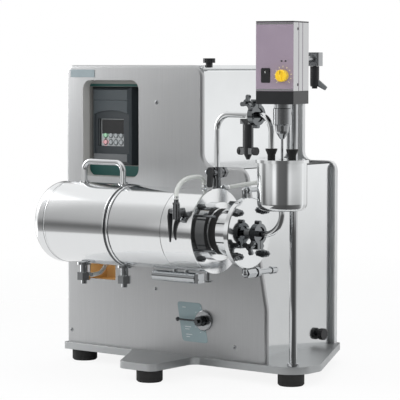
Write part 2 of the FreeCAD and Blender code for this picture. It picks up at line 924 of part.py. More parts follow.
def end_flange():
    """Thick end plate with the product inlet in its middle."""
    right = chamber_right + end_flange_thickness
    body = barrel_rod(chamber_right, right, end_flange_radius)
    rim = [e for e in body.Edges if abs(e.BoundBox.XMin - right) < 1e-6]
    body = body.makeChamfer(1.5, rim)
    body = body.cut(barrel_rod(chamber_right, right, pipe_bore))
    for x, y, z in bolt_points(right, end_bolt_circle):
        body = body.cut(rod(V(chamber_right, y, z), EX, stud_radius, end_flange_thickness))
    return body


def bolt_points(x, radius, rise=45.0):
    """Four points on a bolt circle, each at an angle above or below the axis."""
    points = []
    for degrees in (90 - rise, 90 + rise, 270 - rise, 270 + rise):
        p = barrel_point(x, radius, degrees)
        points.append((p.x, p.y, p.z))
    return points


def flange_nuts():
    """Studs and domed nuts on the end plate and on the front housing, and four thin pins."""
    right = chamber_right + end_flange_thickness
    solids = []
    for x, y, z in bolt_points(right, end_bolt_circle):
        stud = rod(V(chamber_right, y, z), EX, stud_radius, end_flange_thickness + stud_proud)
        solids.append(stud.fuse(dome_nut(V(right + stud_proud - 2, y, z), EX)).fuse(
            hexagon(V(right, y, z), EX, nut_across, nut_height * 0.6)))
    for x, y, z in bolt_points(flange_right, disc_bolt_circle):
        solids.append(dome_nut(V(flange_right, y, z), EX))
    for x, y, z in bolt_points(flange_right, pin_circle, pin_spread):
        solids.append(rod(V(flange_right, y, z), EX, pin_radius, pin_length))
    return Part.makeCompound(solids)


def bail_handle():
    """Round bar handle with two foot discs on the cover."""
    foot = axis_z + cover_radius
    points = [V(bail_left, axis_y, foot), V(bail_left, axis_y, bail_top), V(bail_right, axis_y, bail_top),
              V(bail_right, axis_y, foot)]
    bar = swept(bent_wire(points, [bail_bend] * 2), points[0], EZ, bail_radius)
    below = 4.0
    for x in (bail_left, bail_right):
        bar = bar.fuse(rod(V(x, axis_y, foot - below), EZ, bail_foot_radius, bail_foot_height + below))
    return bar.cut(barrel_rod(cover_left, cover_right, cover_radius))


def barrel_bracket():
    """Ribbed saddle that carries the barrel from the panel."""
    half = bracket_half_height
    saddle = block(bracket_left, bracket_right, -bracket_base, 0, axis_z - half, axis_z + half)
    inner = bracket_left + bracket_rib
    for left in (bracket_left, (bracket_left + bracket_right - bracket_rib) / 2, bracket_right - bracket_rib):
        saddle = saddle.fuse(block(left, left + bracket_rib, axis_y + 40, -bracket_base,
                                   axis_z - half, axis_z + half))
    saddle = saddle.fuse(block(inner, bracket_right, axis_y + 60, -bracket_base, axis_z - half,
                               axis_z - half + bracket_rib))
    return saddle.cut(barrel_rod(bracket_left, bracket_right, housing_radius))


def ferrules(centre, direction):
    """Pair of clamp flanges on a pipe."""
    return rod(centre - direction * ferrule_half, direction, ferrule_radius, 2 * ferrule_half)


def local_bar(centre, along, across, start, stop, half_across, thickness_axis, low, high):
    """Block between start and stop along one axis, centred across, from low to high on the third."""
    a = centre + along * start - across * half_across + thickness_axis * low
    points = [a, a + along * (stop - start), a + along * (stop - start) + across * (2 * half_across),
              a + across * (2 * half_across)]
    face = Part.Face(Part.makePolygon(points + [points[0]]))
    return face.extrude(thickness_axis * (high - low))


def pipe_clamp(centre, direction, side, bolt_way):
    """Split clamp ring with lugs, hinge knuckle and cross bolt; side points from the pipe to the bolt."""
    start = centre - direction * clamp_half
    body = ring(start, direction, clamp_outer, clamp_inner, 2 * clamp_half)
    lug = local_bar(centre, side, bolt_way, clamp_outer - 4, clamp_bolt_offset + 6, 9, direction,
                    -clamp_half, clamp_half)
    knuckle = rod(centre - side * (clamp_outer + 1.5) - direction * clamp_half, direction, 4.0,
                  2 * clamp_half)
    body = body.fuse(lug).fuse(knuckle)
    groove = rod(centre - direction * (ferrule_half + clamp_fit), direction, ferrule_radius + clamp_fit,
                 2 * (ferrule_half + clamp_fit))
    body = body.cut(groove)
    slit = local_bar(centre, side, bolt_way, clamp_inner - 2, clamp_bolt_offset + 7, clamp_split / 2,
                     direction, -clamp_half - 1, clamp_half + 1)
    body = body.cut(slit)
    line = centre + side * clamp_bolt_offset
    body = body.cut(rod(line - bolt_way * 20, bolt_way, clamp_bolt_radius, 40))
    bolt = rod(line - bolt_way * 12, bolt_way, clamp_bolt_radius, 12 + clamp_nut_offset + 8)
    bolt = bolt.fuse(rod(line - bolt_way * 12, bolt_way, clamp_bolt_radius + 2.5, 3))
    return [body, bolt]


def wing_nut(centre, direction, side, bolt_way):
    """Three-lobed hand nut on the clamp bolt."""
    middle = centre + side * clamp_bolt_offset + bolt_way * clamp_nut_offset
    start = middle - bolt_way * wing_half
    nut = rod(start, bolt_way, wing_hub, 2 * wing_half)
    for i in range(3):
        angle = math.radians(15 + 120 * i)
        out = side * math.cos(angle) + direction * math.sin(angle)
        across = bolt_way.cross(out)
        tip = start + out * (wing_radius - wing_lobe)
        nut = nut.fuse(rod(tip + bolt_way, bolt_way, wing_lobe, 2 * wing_half - 2))
        nut = nut.fuse(local_bar(start, out, across, 0, wing_radius - wing_lobe, wing_lobe * 0.8,
                                 bolt_way, 1, 2 * wing_half - 1))
    return nut.cut(rod(start, bolt_way, clamp_bolt_radius + running_gap, 2 * wing_half))


return_way = V(drop_x - riser_x, axis_y - riser_y, 0).normalize()
return_side = EZ.cross(return_way)


def return_point(x, z=return_z):
    """Point on the return pipe's upright plane."""
    return V(riser_x, riser_y, z) + return_way * ((x - riser_x) / return_way.x)


def riser_foot_z():
    """Height where the riser's foot meets the round housing."""
    off = riser_y - axis_y
    return axis_z + math.sqrt(housing_radius ** 2 - off ** 2)


def process_pipes():
    """Return pipe from the riser valve to the vessel, and the inlet pipe below the vessel."""
    valve_top = riser_valve_z + valve_half_height
    points = [return_point(riser_x, valve_top), return_point(riser_x), return_point(drop_x),
              return_point(drop_x, vessel_rim_z + vessel_rim + 8)]
    back = bent_tube(points, return_bend, pipe_radius, pipe_bore)
    back = back.fuse(ferrules(return_point(return_clamp_x), return_way))
    tee = return_point(sampling_x)
    back = back.fuse(rod(tee, -EZ, pipe_radius, return_z - yoke_top))
    back = back.cut(rod(return_point(return_clamp_x) - return_way * 5, return_way, pipe_bore, 10))
    right = chamber_right + end_flange_thickness
    low = [barrel_point(right), V(vessel_x, axis_y, axis_z), V(vessel_x, axis_y, vessel_bottom)]
    inlet = bent_tube(low, inlet_bend, pipe_radius, pipe_bore)
    inlet = inlet.fuse(ferrules(V(inlet_clamp_x, axis_y, axis_z), EX))
    inlet = inlet.fuse(barrel_rod(right, right + 6, 11))
    inlet = inlet.cut(barrel_rod(right, inlet_clamp_x + 5, pipe_bore))
    return Part.makeCompound([back, inlet])


def clamp_settings():
    """Centre, pipe direction, bolt side and bolt direction of both clamps."""
    return {"return_clamp_nut": (return_point(return_clamp_x), return_way, EZ, -return_side),
            "inlet_clamp_nut": (V(inlet_clamp_x, axis_y, axis_z), EX, -EZ, -EY)}


def pipe_clamps():
    """Both split clamps with their bolts."""
    solids = []
    for centre, direction, side, bolt_way in clamp_settings().values():
        solids.extend(pipe_clamp(centre, direction, side, bolt_way))
    return Part.makeCompound(solids)


def valve_bodies():
    """Riser valve and mini valve bodies with their stems' seats and hose ends."""
    foot = riser_foot_z()
    centre = V(riser_x, riser_y, riser_valve_z)
    stub = rod(V(riser_x, riser_y, foot - 4), EZ, riser_foot_radius, centre.z - valve_half_height - foot + 4)
    stub = stub.fuse(rod(V(riser_x, riser_y, foot - 4), EZ, riser_seat_radius, 8))
    stub = stub.cut(barrel_rod(housing_right, flange_right, housing_radius))
    stub = stub.cut(barrel_rod(flange_right - flange_rim_width, flange_right, flange_rim_radius))
    body = rod(centre - EZ * valve_half_height, EZ, valve_half_width, 2 * valve_half_height)
    body = body.fuse(rod(centre, -EY, 8, 17))
    body = body.fuse(rod(centre, EY, 9, 15)).fuse(hexagon(centre + EY * 15, EY, 20, 8))
    barb = rod(centre, -EX, 4.5, 27)
    for i in range(3):
        start = centre - EX * (14 + 4.5 * i)
        barb = barb.fuse(Part.makeCone(6.0, 4.5, 4.0, start, -EX))
    body = body.fuse(stub).fuse(barb)
    body = body.cut(rod(centre - EY * 2, -EY, spindle_radius + running_gap, 20))
    mini = V(mini_x, mini_y, mini_z)
    low = rod(mini - EZ * mini_half_height, EZ, mini_radius, 2 * mini_half_height)
    low = low.fuse(rod(mini + EZ * mini_half_height, EZ, 5.0, mini_port_top - mini_z - mini_half_height))
    low = low.fuse(hexagon(mini + EZ * (mini_half_height - 2), EZ, 13, 5))
    low = low.fuse(rod(mini, EY, 7.0, 30)).fuse(rod(mini, -EX, 6.0, 12))
    low = low.cut(barrel_rod(housing_right, flange_right, housing_radius))
    low = low.cut(rod(mini - EX * 2, -EX, 2.5 + running_gap, 15))
    return Part.makeCompound([body, low])


def riser_valve_lever():
    """Flat hanging lever with its stem."""
    centre = V(riser_x, riser_y, riser_valve_z)
    seat = centre - EY * (17 + part_gap)
    lever = rod(centre - EY * 4, -EY, spindle_radius, 13 + part_gap + 5)
    lever = lever.fuse(rod(seat, -EY, 7.0, 6))
    corners = [(riser_x - 5.5, riser_valve_z + 11, 4), (riser_x - 7.5, riser_valve_z - 29, 4.5),
               (riser_x + 3.5, riser_valve_z - 29, 4.5), (riser_x + 5.5, riser_valve_z + 11, 4)]
    face = Part.Face(outline(corners, on_front(seat.y - 1)))
    return lever.fuse(face.extrude(-EY * 5))


def mini_valve_lever():
    """Thin hanging lever of the mini valve, with its stem and bright nut."""
    centre = V(mini_x, mini_y, mini_z)
    seat = centre - EX * (12 + part_gap)
    lever = rod(centre - EX * 4, -EX, 2.5, 8 + part_gap + 5)
    lever = lever.fuse(rod(seat, -EX, 5.5, 4))
    points = [V(seat.x - 1, mini_y - 5.0, mini_z), V(seat.x - 1, mini_y - 7.5, mini_z - 9),
              V(seat.x - 1, mini_y - 5.5, mini_z - 30),
              V(seat.x - 1, mini_y - 0.8, mini_z - mini_lever_length),
              V(seat.x - 1, mini_y + 0.8, mini_z - mini_lever_length),
              V(seat.x - 1, mini_y + 4.5, mini_z - 30), V(seat.x - 1, mini_y + 6.5, mini_z - 9),
              V(seat.x - 1, mini_y + 5.0, mini_z)]
    blade = Part.Face(Part.makePolygon(points + [points[0]])).extrude(-EX * 3)
    return lever.fuse(blade)


def sampling_valve():
    """Black sleeve with a tapered tip, a yoke above, two tie rods and a cross block below."""
    at = return_point(sampling_x, 0)
    profile = [(0, sleeve_tip), (3, sleeve_tip), (sleeve_radius, sleeve_bottom),
               (sleeve_radius, yoke_top - yoke_height), (0, yoke_top - yoke_height)]
    body = upright_turned(profile, at)
    yoke = local_bar(V(at.x, at.y, yoke_top - yoke_height), return_way, return_side,
                     -yoke_half_length, yoke_half_length, 7.0, EZ, 0, yoke_height)
    cross = local_bar(V(at.x, at.y, cross_z - cross_height / 2), return_way, return_side, -cross_half_length,
                      cross_half_length, 6.5, EZ, 0, cross_height)
    body = body.fuse(yoke).fuse(cross)
    for sign in (-1, 1):
        start = V(at.x, at.y, cross_z) + return_way * (sign * tie_offset)
        body = body.fuse(rod(start, EZ, tie_radius, yoke_top - yoke_height - cross_z + 2))
    bore = V(at.x, at.y, cross_z) - return_way * (2 * cross_half_length)
    return body.cut(rod(bore, return_way, spindle_radius + running_gap, 4 * cross_half_length))


def sampling_knob():
    """Cross spindle with a round knob on each end."""
    at = return_point(sampling_x, cross_z)
    reach = cross_half_length + part_gap + round_knob_length
    body = rod(at - return_way * reach, return_way, spindle_radius, 2 * reach)
    for sign in (-1, 1):
        start = at + return_way * (sign * (cross_half_length + part_gap))
        body = body.fuse(rod(start, return_way * sign, round_knob_radius, round_knob_length))
    return body


def vessel():
    """Thin-walled feed vessel with a round bottom edge, a rim and the inlet in its floor."""
    outer = rod(V(vessel_x, axis_y, vessel_bottom), EZ, vessel_radius, vessel_rim_z - vessel_bottom)
    inner = rod(V(vessel_x, axis_y, vessel_bottom + vessel_wall), EZ, vessel_radius - vessel_wall,
                vessel_rim_z - vessel_bottom)
    low = [e for e in outer.Edges if abs(e.BoundBox.ZMax - vessel_bottom) < 1e-6]
    outer = outer.makeFillet(vessel_round, low)
    low = [e for e in inner.Edges if abs(e.BoundBox.ZMax - vessel_bottom - vessel_wall) < 1e-6]
    inner = inner.makeFillet(vessel_round - vessel_wall, low)
    rim = rod(V(vessel_x, axis_y, vessel_rim_z), EZ, vessel_rim_radius, vessel_rim)
    body = outer.fuse(rim).cut(inner)
    body = body.cut(rod(V(vessel_x, axis_y, vessel_rim_z), EZ, vessel_radius - vessel_wall, vessel_rim))
    return body.cut(rod(V(vessel_x, axis_y, vessel_bottom), EZ, pipe_bore, vessel_wall))


def bung_places():
    """Left bung at the return pipe, right bung opposite."""
    return [V(drop_x, axis_y, 0), V(2 * vessel_x - drop_x - 2, axis_y, 0)]


def vessel_lid():
    """Flat lid with holes for both bungs and the stirrer shaft."""
    low = vessel_rim_z + vessel_rim
    lid = rod(V(vessel_x, axis_y, low), EZ, vessel_rim_radius, lid_plate)
    lid = lid.cut(rod(V(vessel_x, axis_y, low), EZ, shaft_hole, lid_plate))
    for at in bung_places():
        lid = lid.cut(rod(V(at.x, at.y, low), EZ, bung_base_radius, lid_plate))
    return lid


def vessel_bungs():
    """Flared rubber bungs; the left one grips the return pipe."""
    low = vessel_rim_z + vessel_rim
    solids = []
    for at in bung_places():
        profile = [(0, low), (bung_base_radius, low), (bung_neck_radius + 1, low + lid_plate + 8),
                   (bung_flange_radius, bung_top - bung_flange), (bung_flange_radius, bung_top),
                   (0, bung_top)]
        solids.append(upright_turned(profile, at))
    solids[0] = solids[0].cut(rod(V(drop_x, axis_y, low + 8), EZ, pipe_radius, 60))
    solids[0] = solids[0].cut(rod(V(drop_x, axis_y, low), EZ, pipe_bore, 60))
    return Part.makeCompound(solids)


def stand_rod():
    """Upright rod with a foot collar on the base plate."""
    foot = rod(V(rod_x, rod_y, 0), EZ, rod_collar_radius, rod_collar)
    return foot.fuse(rod(V(rod_x, rod_y, 0), EZ, rod_radius, rod_top))


def stirrer_point(across, forward, z):
    """Point in the turned frame of the overhead stirrer."""
    return vessel_axis + stirrer_right * across + stirrer_front * forward + EZ * z


def stirrer_block(left, right, back, front, low, high):
    """Block squared to the overhead stirrer."""
    body = Part.makeBox(right - left, front - back, high - low, V(left, -front, low))
    body.rotate(V(0, 0, 0), EZ, stirrer_turn)
    body.translate(vessel_axis)
    return body


rod_offset = V(rod_x - vessel_x, rod_y - axis_y, 0)
rod_across = rod_offset.dot(stirrer_right)
rod_forward = rod_offset.dot(stirrer_front)


def boss_head():
    """Clamp block that joins the stand rod to the stirrer's arm, with the arm itself."""
    body = stirrer_block(rod_across - boss_rod_margin, grip_offset + boss_overhang - 7,
                         rod_forward - boss_half_depth, rod_forward + boss_half_depth, boss_bottom, boss_top)
    upright = [e for e in body.Edges if abs(e.BoundBox.ZLength - (boss_top - boss_bottom)) < 1e-6]
    body = body.makeFillet(4.0, upright)
    body = body.cut(rod(V(rod_x, rod_y, boss_bottom), EZ, rod_radius + running_gap, boss_top - boss_bottom))
    arm_start = stirrer_point(grip_offset, -stirrer_depth / 2, arm_z)
    length = -stirrer_depth / 2 - rod_forward + boss_half_depth + 6
    body = body.cut(rod(arm_start, -stirrer_front, arm_radius, length))
    stem = stirrer_point(grip_offset, rod_forward, boss_bottom)
    body = body.cut(rod(stem, EZ, grip_stem_radius + running_gap, arm_z - boss_bottom))
    return Part.makeCompound([body, rod(arm_start, -stirrer_front, arm_radius, length)])


def boss_lever():
    """Clamp screw of the boss head with its black grip and slanted wing."""
    at = stirrer_point(grip_offset, rod_forward, 0)
    top = boss_bottom - part_gap
    low = top - grip_length
    profile = [(0, low - 4), (grip_radius * 0.6, low - 4), (grip_radius * 0.6, low), (grip_radius - 1, low),
               (grip_radius, low + 3), (grip_radius, top), (grip_stem_radius, top),
               (grip_stem_radius, arm_z - arm_radius - part_gap), (0, arm_z - arm_radius - part_gap)]
    body = upright_turned(profile, at)
    root = at + EZ * (low + 12) - stirrer_front * 3
    tip = root + stirrer_right * lever_reach - EZ * 16
    points = [root + EZ * 5 + stirrer_right * 4, tip + EZ * 3, tip - EZ * 3 - stirrer_right * 4,
              root - EZ * 9 + stirrer_right * 2]
    return body.fuse(Part.Face(Part.makePolygon(points + [points[0]])).extrude(stirrer_front * 6))


def stirrer_housing():
    """Extruded housing with two grooves down each side and seats for the controls."""
    half = stirrer_width / 2
    deep = stirrer_depth / 2
    low = stirrer_bottom + stirrer_base
    high = stirrer_top - stirrer_cap
    body = stirrer_block(-half, half, -deep, deep, low, high)
    for side in (-1, 1):
        for along in (-0.1, 0.16):
            edge = side * half
            groove = stirrer_block(min(edge, edge - side * 1.2), max(edge, edge - side * 1.2),
                                   along * stirrer_depth - 1.2, along * stirrer_depth + 1.2, low, high)
            body = body.cut(groove)
    switch = stirrer_block(switch_offset - switch_width / 2, switch_offset + switch_width / 2, deep - 9, deep,
                           switch_z - switch_height / 2, switch_z + switch_height / 2)
    body = body.cut(switch)
    knob = stirrer_point(knob_offset, deep - 10, knob_z)
    body = body.cut(rod(knob, stirrer_front, spindle_radius + running_gap, 12))
    return body.cut(rod(V(vessel_x, axis_y, low), EZ, 6.0 + part_gap, 30))


def stirrer_caps():
    """Black base of the stirrer and its thin top cap."""
    half = stirrer_width / 2
    deep = stirrer_depth / 2
    base = stirrer_block(-half, half, -deep, deep, stirrer_bottom, stirrer_bottom + stirrer_base)
    base = base.cut(rod(V(vessel_x, axis_y, stirrer_bottom), EZ, 6.0 + part_gap, stirrer_base))
    cap = stirrer_block(-half, half, -deep, deep, stirrer_top - stirrer_cap, stirrer_top)
    return Part.makeCompound([base, cap])


def stirrer_switch():
    """Rocker of the mains switch, pivoted on a cross pin."""
    deep = stirrer_depth / 2
    half_width = switch_width / 2 - part_gap
    rise = switch_height / 2 - 1.5
    points = []
    for forward, z in ((deep + 2.5, switch_z + rise), (deep + 0.8, switch_z), (deep + 2.5, switch_z - rise),
                       (deep - 2, switch_z - rise), (deep - 5.5, switch_z), (deep - 2, switch_z + rise)):
        points.append(stirrer_point(switch_offset - half_width, forward, z))
    rocker = Part.Face(Part.makePolygon(points + [points[0]])).extrude(stirrer_right * (2 * half_width))
    rocker.rotate(stirrer_point(switch_offset, deep - 2, switch_z), stirrer_right, switch_tilt)
    return rocker


def stirrer_speed_knob():
    """Speed knob with a finger bar and its spindle."""
    deep = stirrer_depth / 2
    at = stirrer_point(knob_offset, deep + part_gap, knob_z)
    body = rod(at, stirrer_front, speed_knob_radius, speed_knob_length)
    rim = [e for e in body.Edges if e.Curve.TypeId == "Part::GeomCircle"
           and (e.Curve.Center - at).dot(stirrer_front) > speed_knob_length / 2]
    body = body.makeChamfer(1.5, rim)
    return body.fuse(rod(at - stirrer_front * 9, stirrer_front, spindle_radius, 10))


def stirrer_spindle():
    """Drill chuck, stirrer shaft and propeller, turning as one."""
    low = chuck_bottom
    profile = [(0, stirrer_bottom + 40), (6, stirrer_bottom + 40), (6, stirrer_bottom - part_gap),
               (chuck_top_radius, stirrer_bottom - part_gap), (chuck_top_radius, chuck_collar_z + 1),
               (chuck_body_radius, chuck_collar_z), (chuck_body_radius, chuck_ring_z),
               (chuck_jaw_radius, chuck_ring_z - 2), (chuck_jaw_radius - 2, low + 12),
               (chuck_tip_radius, low), (0, low)]
    chuck = upright_turned(profile, vessel_axis)
    shaft = rod(V(vessel_x, axis_y, stirrer_shaft_bottom), EZ, stirrer_shaft_radius,
                low - stirrer_shaft_bottom)
    blades = rod(V(vessel_x, axis_y, stirrer_shaft_bottom), EZ, impeller_hub, 10)
    for i in range(3):
        blade = Part.makeBox(impeller_radius, 1.6, 9, V(0, -0.8, -4.5))
        blade.rotate(V(0, 0, 0), EX, 40)
        blade.rotate(V(0, 0, 0), EZ, 120 * i)
        blade.translate(V(vessel_x, axis_y, stirrer_shaft_bottom + 5))
        blades = blades.fuse(blade)
    return Part.makeCompound([chuck, shaft.fuse(blades)])


def coolant_fittings():
    """Ports under the cover, the cross tube, the drain and both jacket lines."""
    solids = []
    cover = barrel_rod(cover_left, cover_right, cover_radius)
    housing = barrel_rod(housing_right, flange_right, housing_radius)
    for x in port_xs:
        port = rod(V(x, axis_y, port_flange_bottom), EZ, port_flange_radius, 8)
        port = port.fuse(rod(V(x, axis_y, port_nut_top), EZ, port_stem_radius,
                             port_flange_bottom - port_nut_top))
        port = port.fuse(hexagon(V(x, axis_y, port_nut_top - port_nut_height), EZ, port_nut_across,
                                 port_nut_height))
        port = port.fuse(rod(V(x, axis_y, port_stub_bottom), EZ, port_stub_radius,
                             port_nut_top - port_nut_height - port_stub_bottom))
        if x == port_xs[0]:
            port = port.fuse(rod(V(x, axis_y, feed_barb_z), EY, hose_barb_radius, feed_start_y - axis_y))
        solids.append(port.cut(cover))
    tube = rod(V(manifold_left, axis_y, manifold_z), EX, manifold_radius, manifold_right - manifold_left)
    half = manifold_radius * 0.85
    tube = tube.fuse(block(manifold_right, manifold_right + manifold_cap, axis_y - half, axis_y + half,
                           manifold_z - half, manifold_z + half))
    for x in manifold_posts:
        tube = tube.fuse(rod(V(x, axis_y, manifold_z), EZ, 4.5, 22))
    solids.append(tube.cut(housing))
    drain = rod(V(drain_x, axis_y, drain_bottom), EZ, drain_radius, 28)
    drain = drain.fuse(rod(V(drain_x, axis_y, drain_bottom), EZ, drain_flange_radius, 2.5))
    solids.append(drain.cut(housing))
    solids.extend(jacket_lines())
    turn_point = V(riser_x, flush_port_y, flush_port_z)
    elbow = rod(turn_point - EZ * 20, EZ, hose_barb_radius, 20)
    elbow = elbow.fuse(Part.makeSphere(elbow_radius, turn_point))
    elbow = elbow.fuse(rod(turn_point, EY, hose_barb_radius, elbow_reach))
    rim = barrel_rod(flange_right - flange_rim_width, flange_right, flange_rim_radius)
    solids.append(elbow.cut(housing).cut(rim))
    vent_port = rod(V(mini_x, vent_port_y, axis_z + housing_radius - 5), EZ, hose_barb_radius,
                    vent_port_top - axis_z - housing_radius + 5)
    vent_port = vent_port.fuse(hexagon(V(mini_x, vent_port_y, axis_z + housing_radius - 4), EZ, 11, 5))
    solids.append(vent_port.cut(housing))
    return Part.makeCompound(solids)


def jacket_lines():
    """Upper and lower water lines of the end plate, each bent to the back."""
    x = jacket_port_x
    y = jacket_port_y
    plate = barrel_rod(chamber_right, chamber_right + end_flange_thickness, end_flange_radius)
    off = y - axis_y
    rim = math.sqrt(end_flange_radius ** 2 - off ** 2)
    upper = rod(V(x, y, axis_z + rim - 3), EZ, jacket_stub_radius, upper_line_z - axis_z - rim + 3)
    upper = upper.fuse(Part.makeSphere(jacket_stub_radius + 1, V(x, y, upper_line_z)))
    upper = upper.fuse(hexagon(V(x, y + 6, upper_line_z), EY, 14, 9))
    upper = upper.fuse(rod(V(x, y, upper_line_z), EY, hose_barb_radius, upper_line_reach))
    upper = upper.cut(plate)
    lower = rod(V(x, y, lower_line_z), EZ, jacket_stub_radius, axis_z - rim + 3 - lower_line_z)
    lower = lower.fuse(Part.makeSphere(jacket_stub_radius + 1, V(x, y, lower_line_z)))
    lower = lower.fuse(hexagon(V(x, y + 4, lower_line_z), EY, 16, 26))
    lower = lower.fuse(rod(V(x, y + 34, lower_line_z), EY, 10, 8))
    end = y + lower_pipe_length
    lower = lower.fuse(rod(V(x, y, lower_line_z), EY, lower_pipe_radius, lower_pipe_length))
    lower = lower.fuse(rod(V(x, end, lower_line_z), EY, lower_socket_radius, lower_socket_length))
    lower = lower.fuse(rod(V(x, end + lower_socket_length, lower_line_z), EY, lower_tip_radius,
                           lower_tip_length))
    return [upper, lower.cut(plate)]


parts = {
    "base_plate": base_plate(),
    "rubber_feet": rubber_feet(),
    "front_panel": front_panel(),
    "slot_tray": slot_tray(),
    "cabinet_body": cabinet_body(),
    "back_plate": back_plate(),
    "top_lid": top_lid(),
    "lid_knob": lid_knob(),
    "wall_knob": wall_knob(),
    "selector_bezel": selector_bezel(),
    "selector_knob": selector_knob(),
    "drive_bezel": drive_bezel(),
    "drive_housing": drive_housing(),
    "keypad_plate": keypad_plate(),
    "motor_cover": motor_cover(),
    "motor_stator": motor_stator(),
    "rotor_shaft": rotor_shaft(),
    "shaft_bearings": shaft_bearings(),
    "bearing_housing": bearing_housing(),
    "shaft_seals": shaft_seals(),
    "seal_flange": seal_flange(),
    "grinding_chamber": grinding_chamber(),
    "separation_screen": separation_screen(),
    "agitator": agitator(),
    "end_flange": end_flange(),
    "flange_nuts": flange_nuts(),
    "bail_handle": bail_handle(),
    "barrel_bracket": barrel_bracket(),
    "process_pipes": process_pipes(),
    "pipe_clamps": pipe_clamps(),
    "valve_bodies": valve_bodies(),
    "riser_valve_lever": riser_valve_lever(),
    "mini_valve_lever": mini_valve_lever(),
    "sampling_valve": sampling_valve(),
    "sampling_knob": sampling_knob(),
    "vessel": vessel(),
    "vessel_lid": vessel_lid(),
    "vessel_bungs": vessel_bungs(),
    "stand_rod": stand_rod(),
    "boss_head": boss_head(),
    "boss_lever": boss_lever(),
    "stirrer_housing": stirrer_housing(),
    "stirrer_caps": stirrer_caps(),
    "stirrer_switch": stirrer_switch(),
    "stirrer_speed_knob": stirrer_speed_knob(),
    "stirrer_spindle": stirrer_spindle(),
    "coolant_fittings": coolant_fittings(),
    "vent_hose": hose("vent_hose", vent_hose_route),
    "flush_hose": hose("flush_hose", flush_hose_route),
    "feed_hose": hose("feed_hose", feed_hose_route),
}
for name, setting in clamp_settings().items():
    parts[name] = wing_nut(*setting)
for column in range(key_columns):
    for row in range(key_rows):
        parts["key_%d_%d" % (column + 1, row + 1)] = key(column, row)

whole = FreeCAD.BoundBox()
for shape in parts.values():
    whole.add(shape.optimalBoundingBox(False, False))
datum = V(whole.Center.x, whole.Center.y, whole.ZMin)
print("datum", round(datum.x, 4), round(datum.y, 4), round(datum.z, 4))
print("size", round(whole.XLength, 2), round(whole.YLength, 2), round(whole.ZLength, 2))

os.makedirs("parts", exist_ok=True)
for name, shape in parts.items():
    shape.translate(-datum)
    shape.exportStep("parts/%s.step" % name)
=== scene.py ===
"""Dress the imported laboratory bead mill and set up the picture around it.

Sizes are written in millimetres from the drawing zero, the front panel's lower right front
corner on top of the base plate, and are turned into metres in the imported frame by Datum.
"""
import json
import logging
import math
from dataclasses import dataclass, field
from enum import Enum
from typing import Callable, Iterable, Optional, Sequence, Union

import bmesh
import bpy
import numpy as np
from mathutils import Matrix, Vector

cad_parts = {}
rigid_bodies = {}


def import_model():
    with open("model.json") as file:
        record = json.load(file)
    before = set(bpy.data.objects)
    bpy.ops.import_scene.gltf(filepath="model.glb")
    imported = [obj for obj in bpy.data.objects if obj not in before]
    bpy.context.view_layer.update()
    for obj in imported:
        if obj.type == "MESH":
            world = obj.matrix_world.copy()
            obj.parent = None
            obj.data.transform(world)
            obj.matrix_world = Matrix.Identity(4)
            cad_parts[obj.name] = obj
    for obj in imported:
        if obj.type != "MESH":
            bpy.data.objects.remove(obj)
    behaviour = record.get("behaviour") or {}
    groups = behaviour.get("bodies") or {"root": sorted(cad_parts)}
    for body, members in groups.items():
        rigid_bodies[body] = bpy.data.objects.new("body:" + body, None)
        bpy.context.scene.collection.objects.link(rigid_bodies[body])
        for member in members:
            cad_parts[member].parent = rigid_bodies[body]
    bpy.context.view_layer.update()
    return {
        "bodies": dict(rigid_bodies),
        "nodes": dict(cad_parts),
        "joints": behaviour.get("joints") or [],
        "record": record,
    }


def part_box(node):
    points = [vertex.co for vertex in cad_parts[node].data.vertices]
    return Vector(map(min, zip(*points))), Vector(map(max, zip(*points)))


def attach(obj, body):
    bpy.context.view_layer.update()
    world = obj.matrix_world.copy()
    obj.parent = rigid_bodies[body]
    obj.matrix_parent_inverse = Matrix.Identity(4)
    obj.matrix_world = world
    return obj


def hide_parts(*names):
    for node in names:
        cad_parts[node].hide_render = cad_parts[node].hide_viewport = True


LOG = logging.getLogger("bead_mill")
MM = 0.001
RIGHT = np.array([1.0, 0.0, 0.0])
BACK = np.array([0.0, 1.0, 0.0])
UP = np.array([0.0, 0.0, 1.0])
Socket = bpy.types.NodeSocket
Value = Union[float, Sequence[float], Socket]
Point = tuple[float, float, float]
Edges = tuple[float, float, float, float]
Colour = tuple[float, float, float, float]


class Treatment(Enum):
    """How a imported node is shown."""

    KEEP = "as packed"
    SMOOTH = "merged and shaded smooth"
    EASED = "merged, shaded smooth and with eased edges"


class Grain(Enum):
    """Direction in which a metal surface was worked."""

    NONE = "polished"
    UPRIGHT = "brushed up and down"
    LEVEL = "brushed along X"
    ROUND = "turned about the X axis"
    SPUN = "turned about the Z axis"


def linear(hex_colour: str) -> Colour:
    """Turn an sRGB hex colour into linear RGBA.

    Args:
        hex_colour: Colour as "#RRGGBB".

    Returns:
        Linear red, green, blue and an alpha of one.
    """
    values = [int(hex_colour[i:i + 2], 16) / 255 for i in (1, 3, 5)]
    red, green, blue = [v / 12.92 if v <= 0.04045 else ((v + 0.055) / 1.055) ** 2.4 for v in values]
    return (red, green, blue, 1.0)


def add(tree: bpy.types.NodeTree, kind: str, inputs: Optional[dict[Union[str, int], Value]] = None,
        **settings: object) -> bpy.types.Node:
    """Add one node with its settings, socket values and links.

    Args:
        tree: Node tree that takes the node.
        kind: Blender's name of the node type.
        inputs: Socket name or number to a value, or to an output socket that is linked in.
        settings: Properties of the node itself.

    Returns:
        The new node.
    """
    node = tree.nodes.new(kind)
    for name, value in settings.items():
        setattr(node, name, value)
    for key, value in (inputs or {}).items():
        if isinstance(value, Socket):
            tree.links.new(value, node.inputs[key])
        else:
            node.inputs[key].default_value = value
    return node


def new_material(name: str) -> tuple[bpy.types.Material, bpy.types.NodeTree]:
    """Make an empty node material."""
    material = bpy.data.materials.new(name)
    material.use_nodes = True
    material.node_tree.nodes.clear()
    return material, material.node_tree


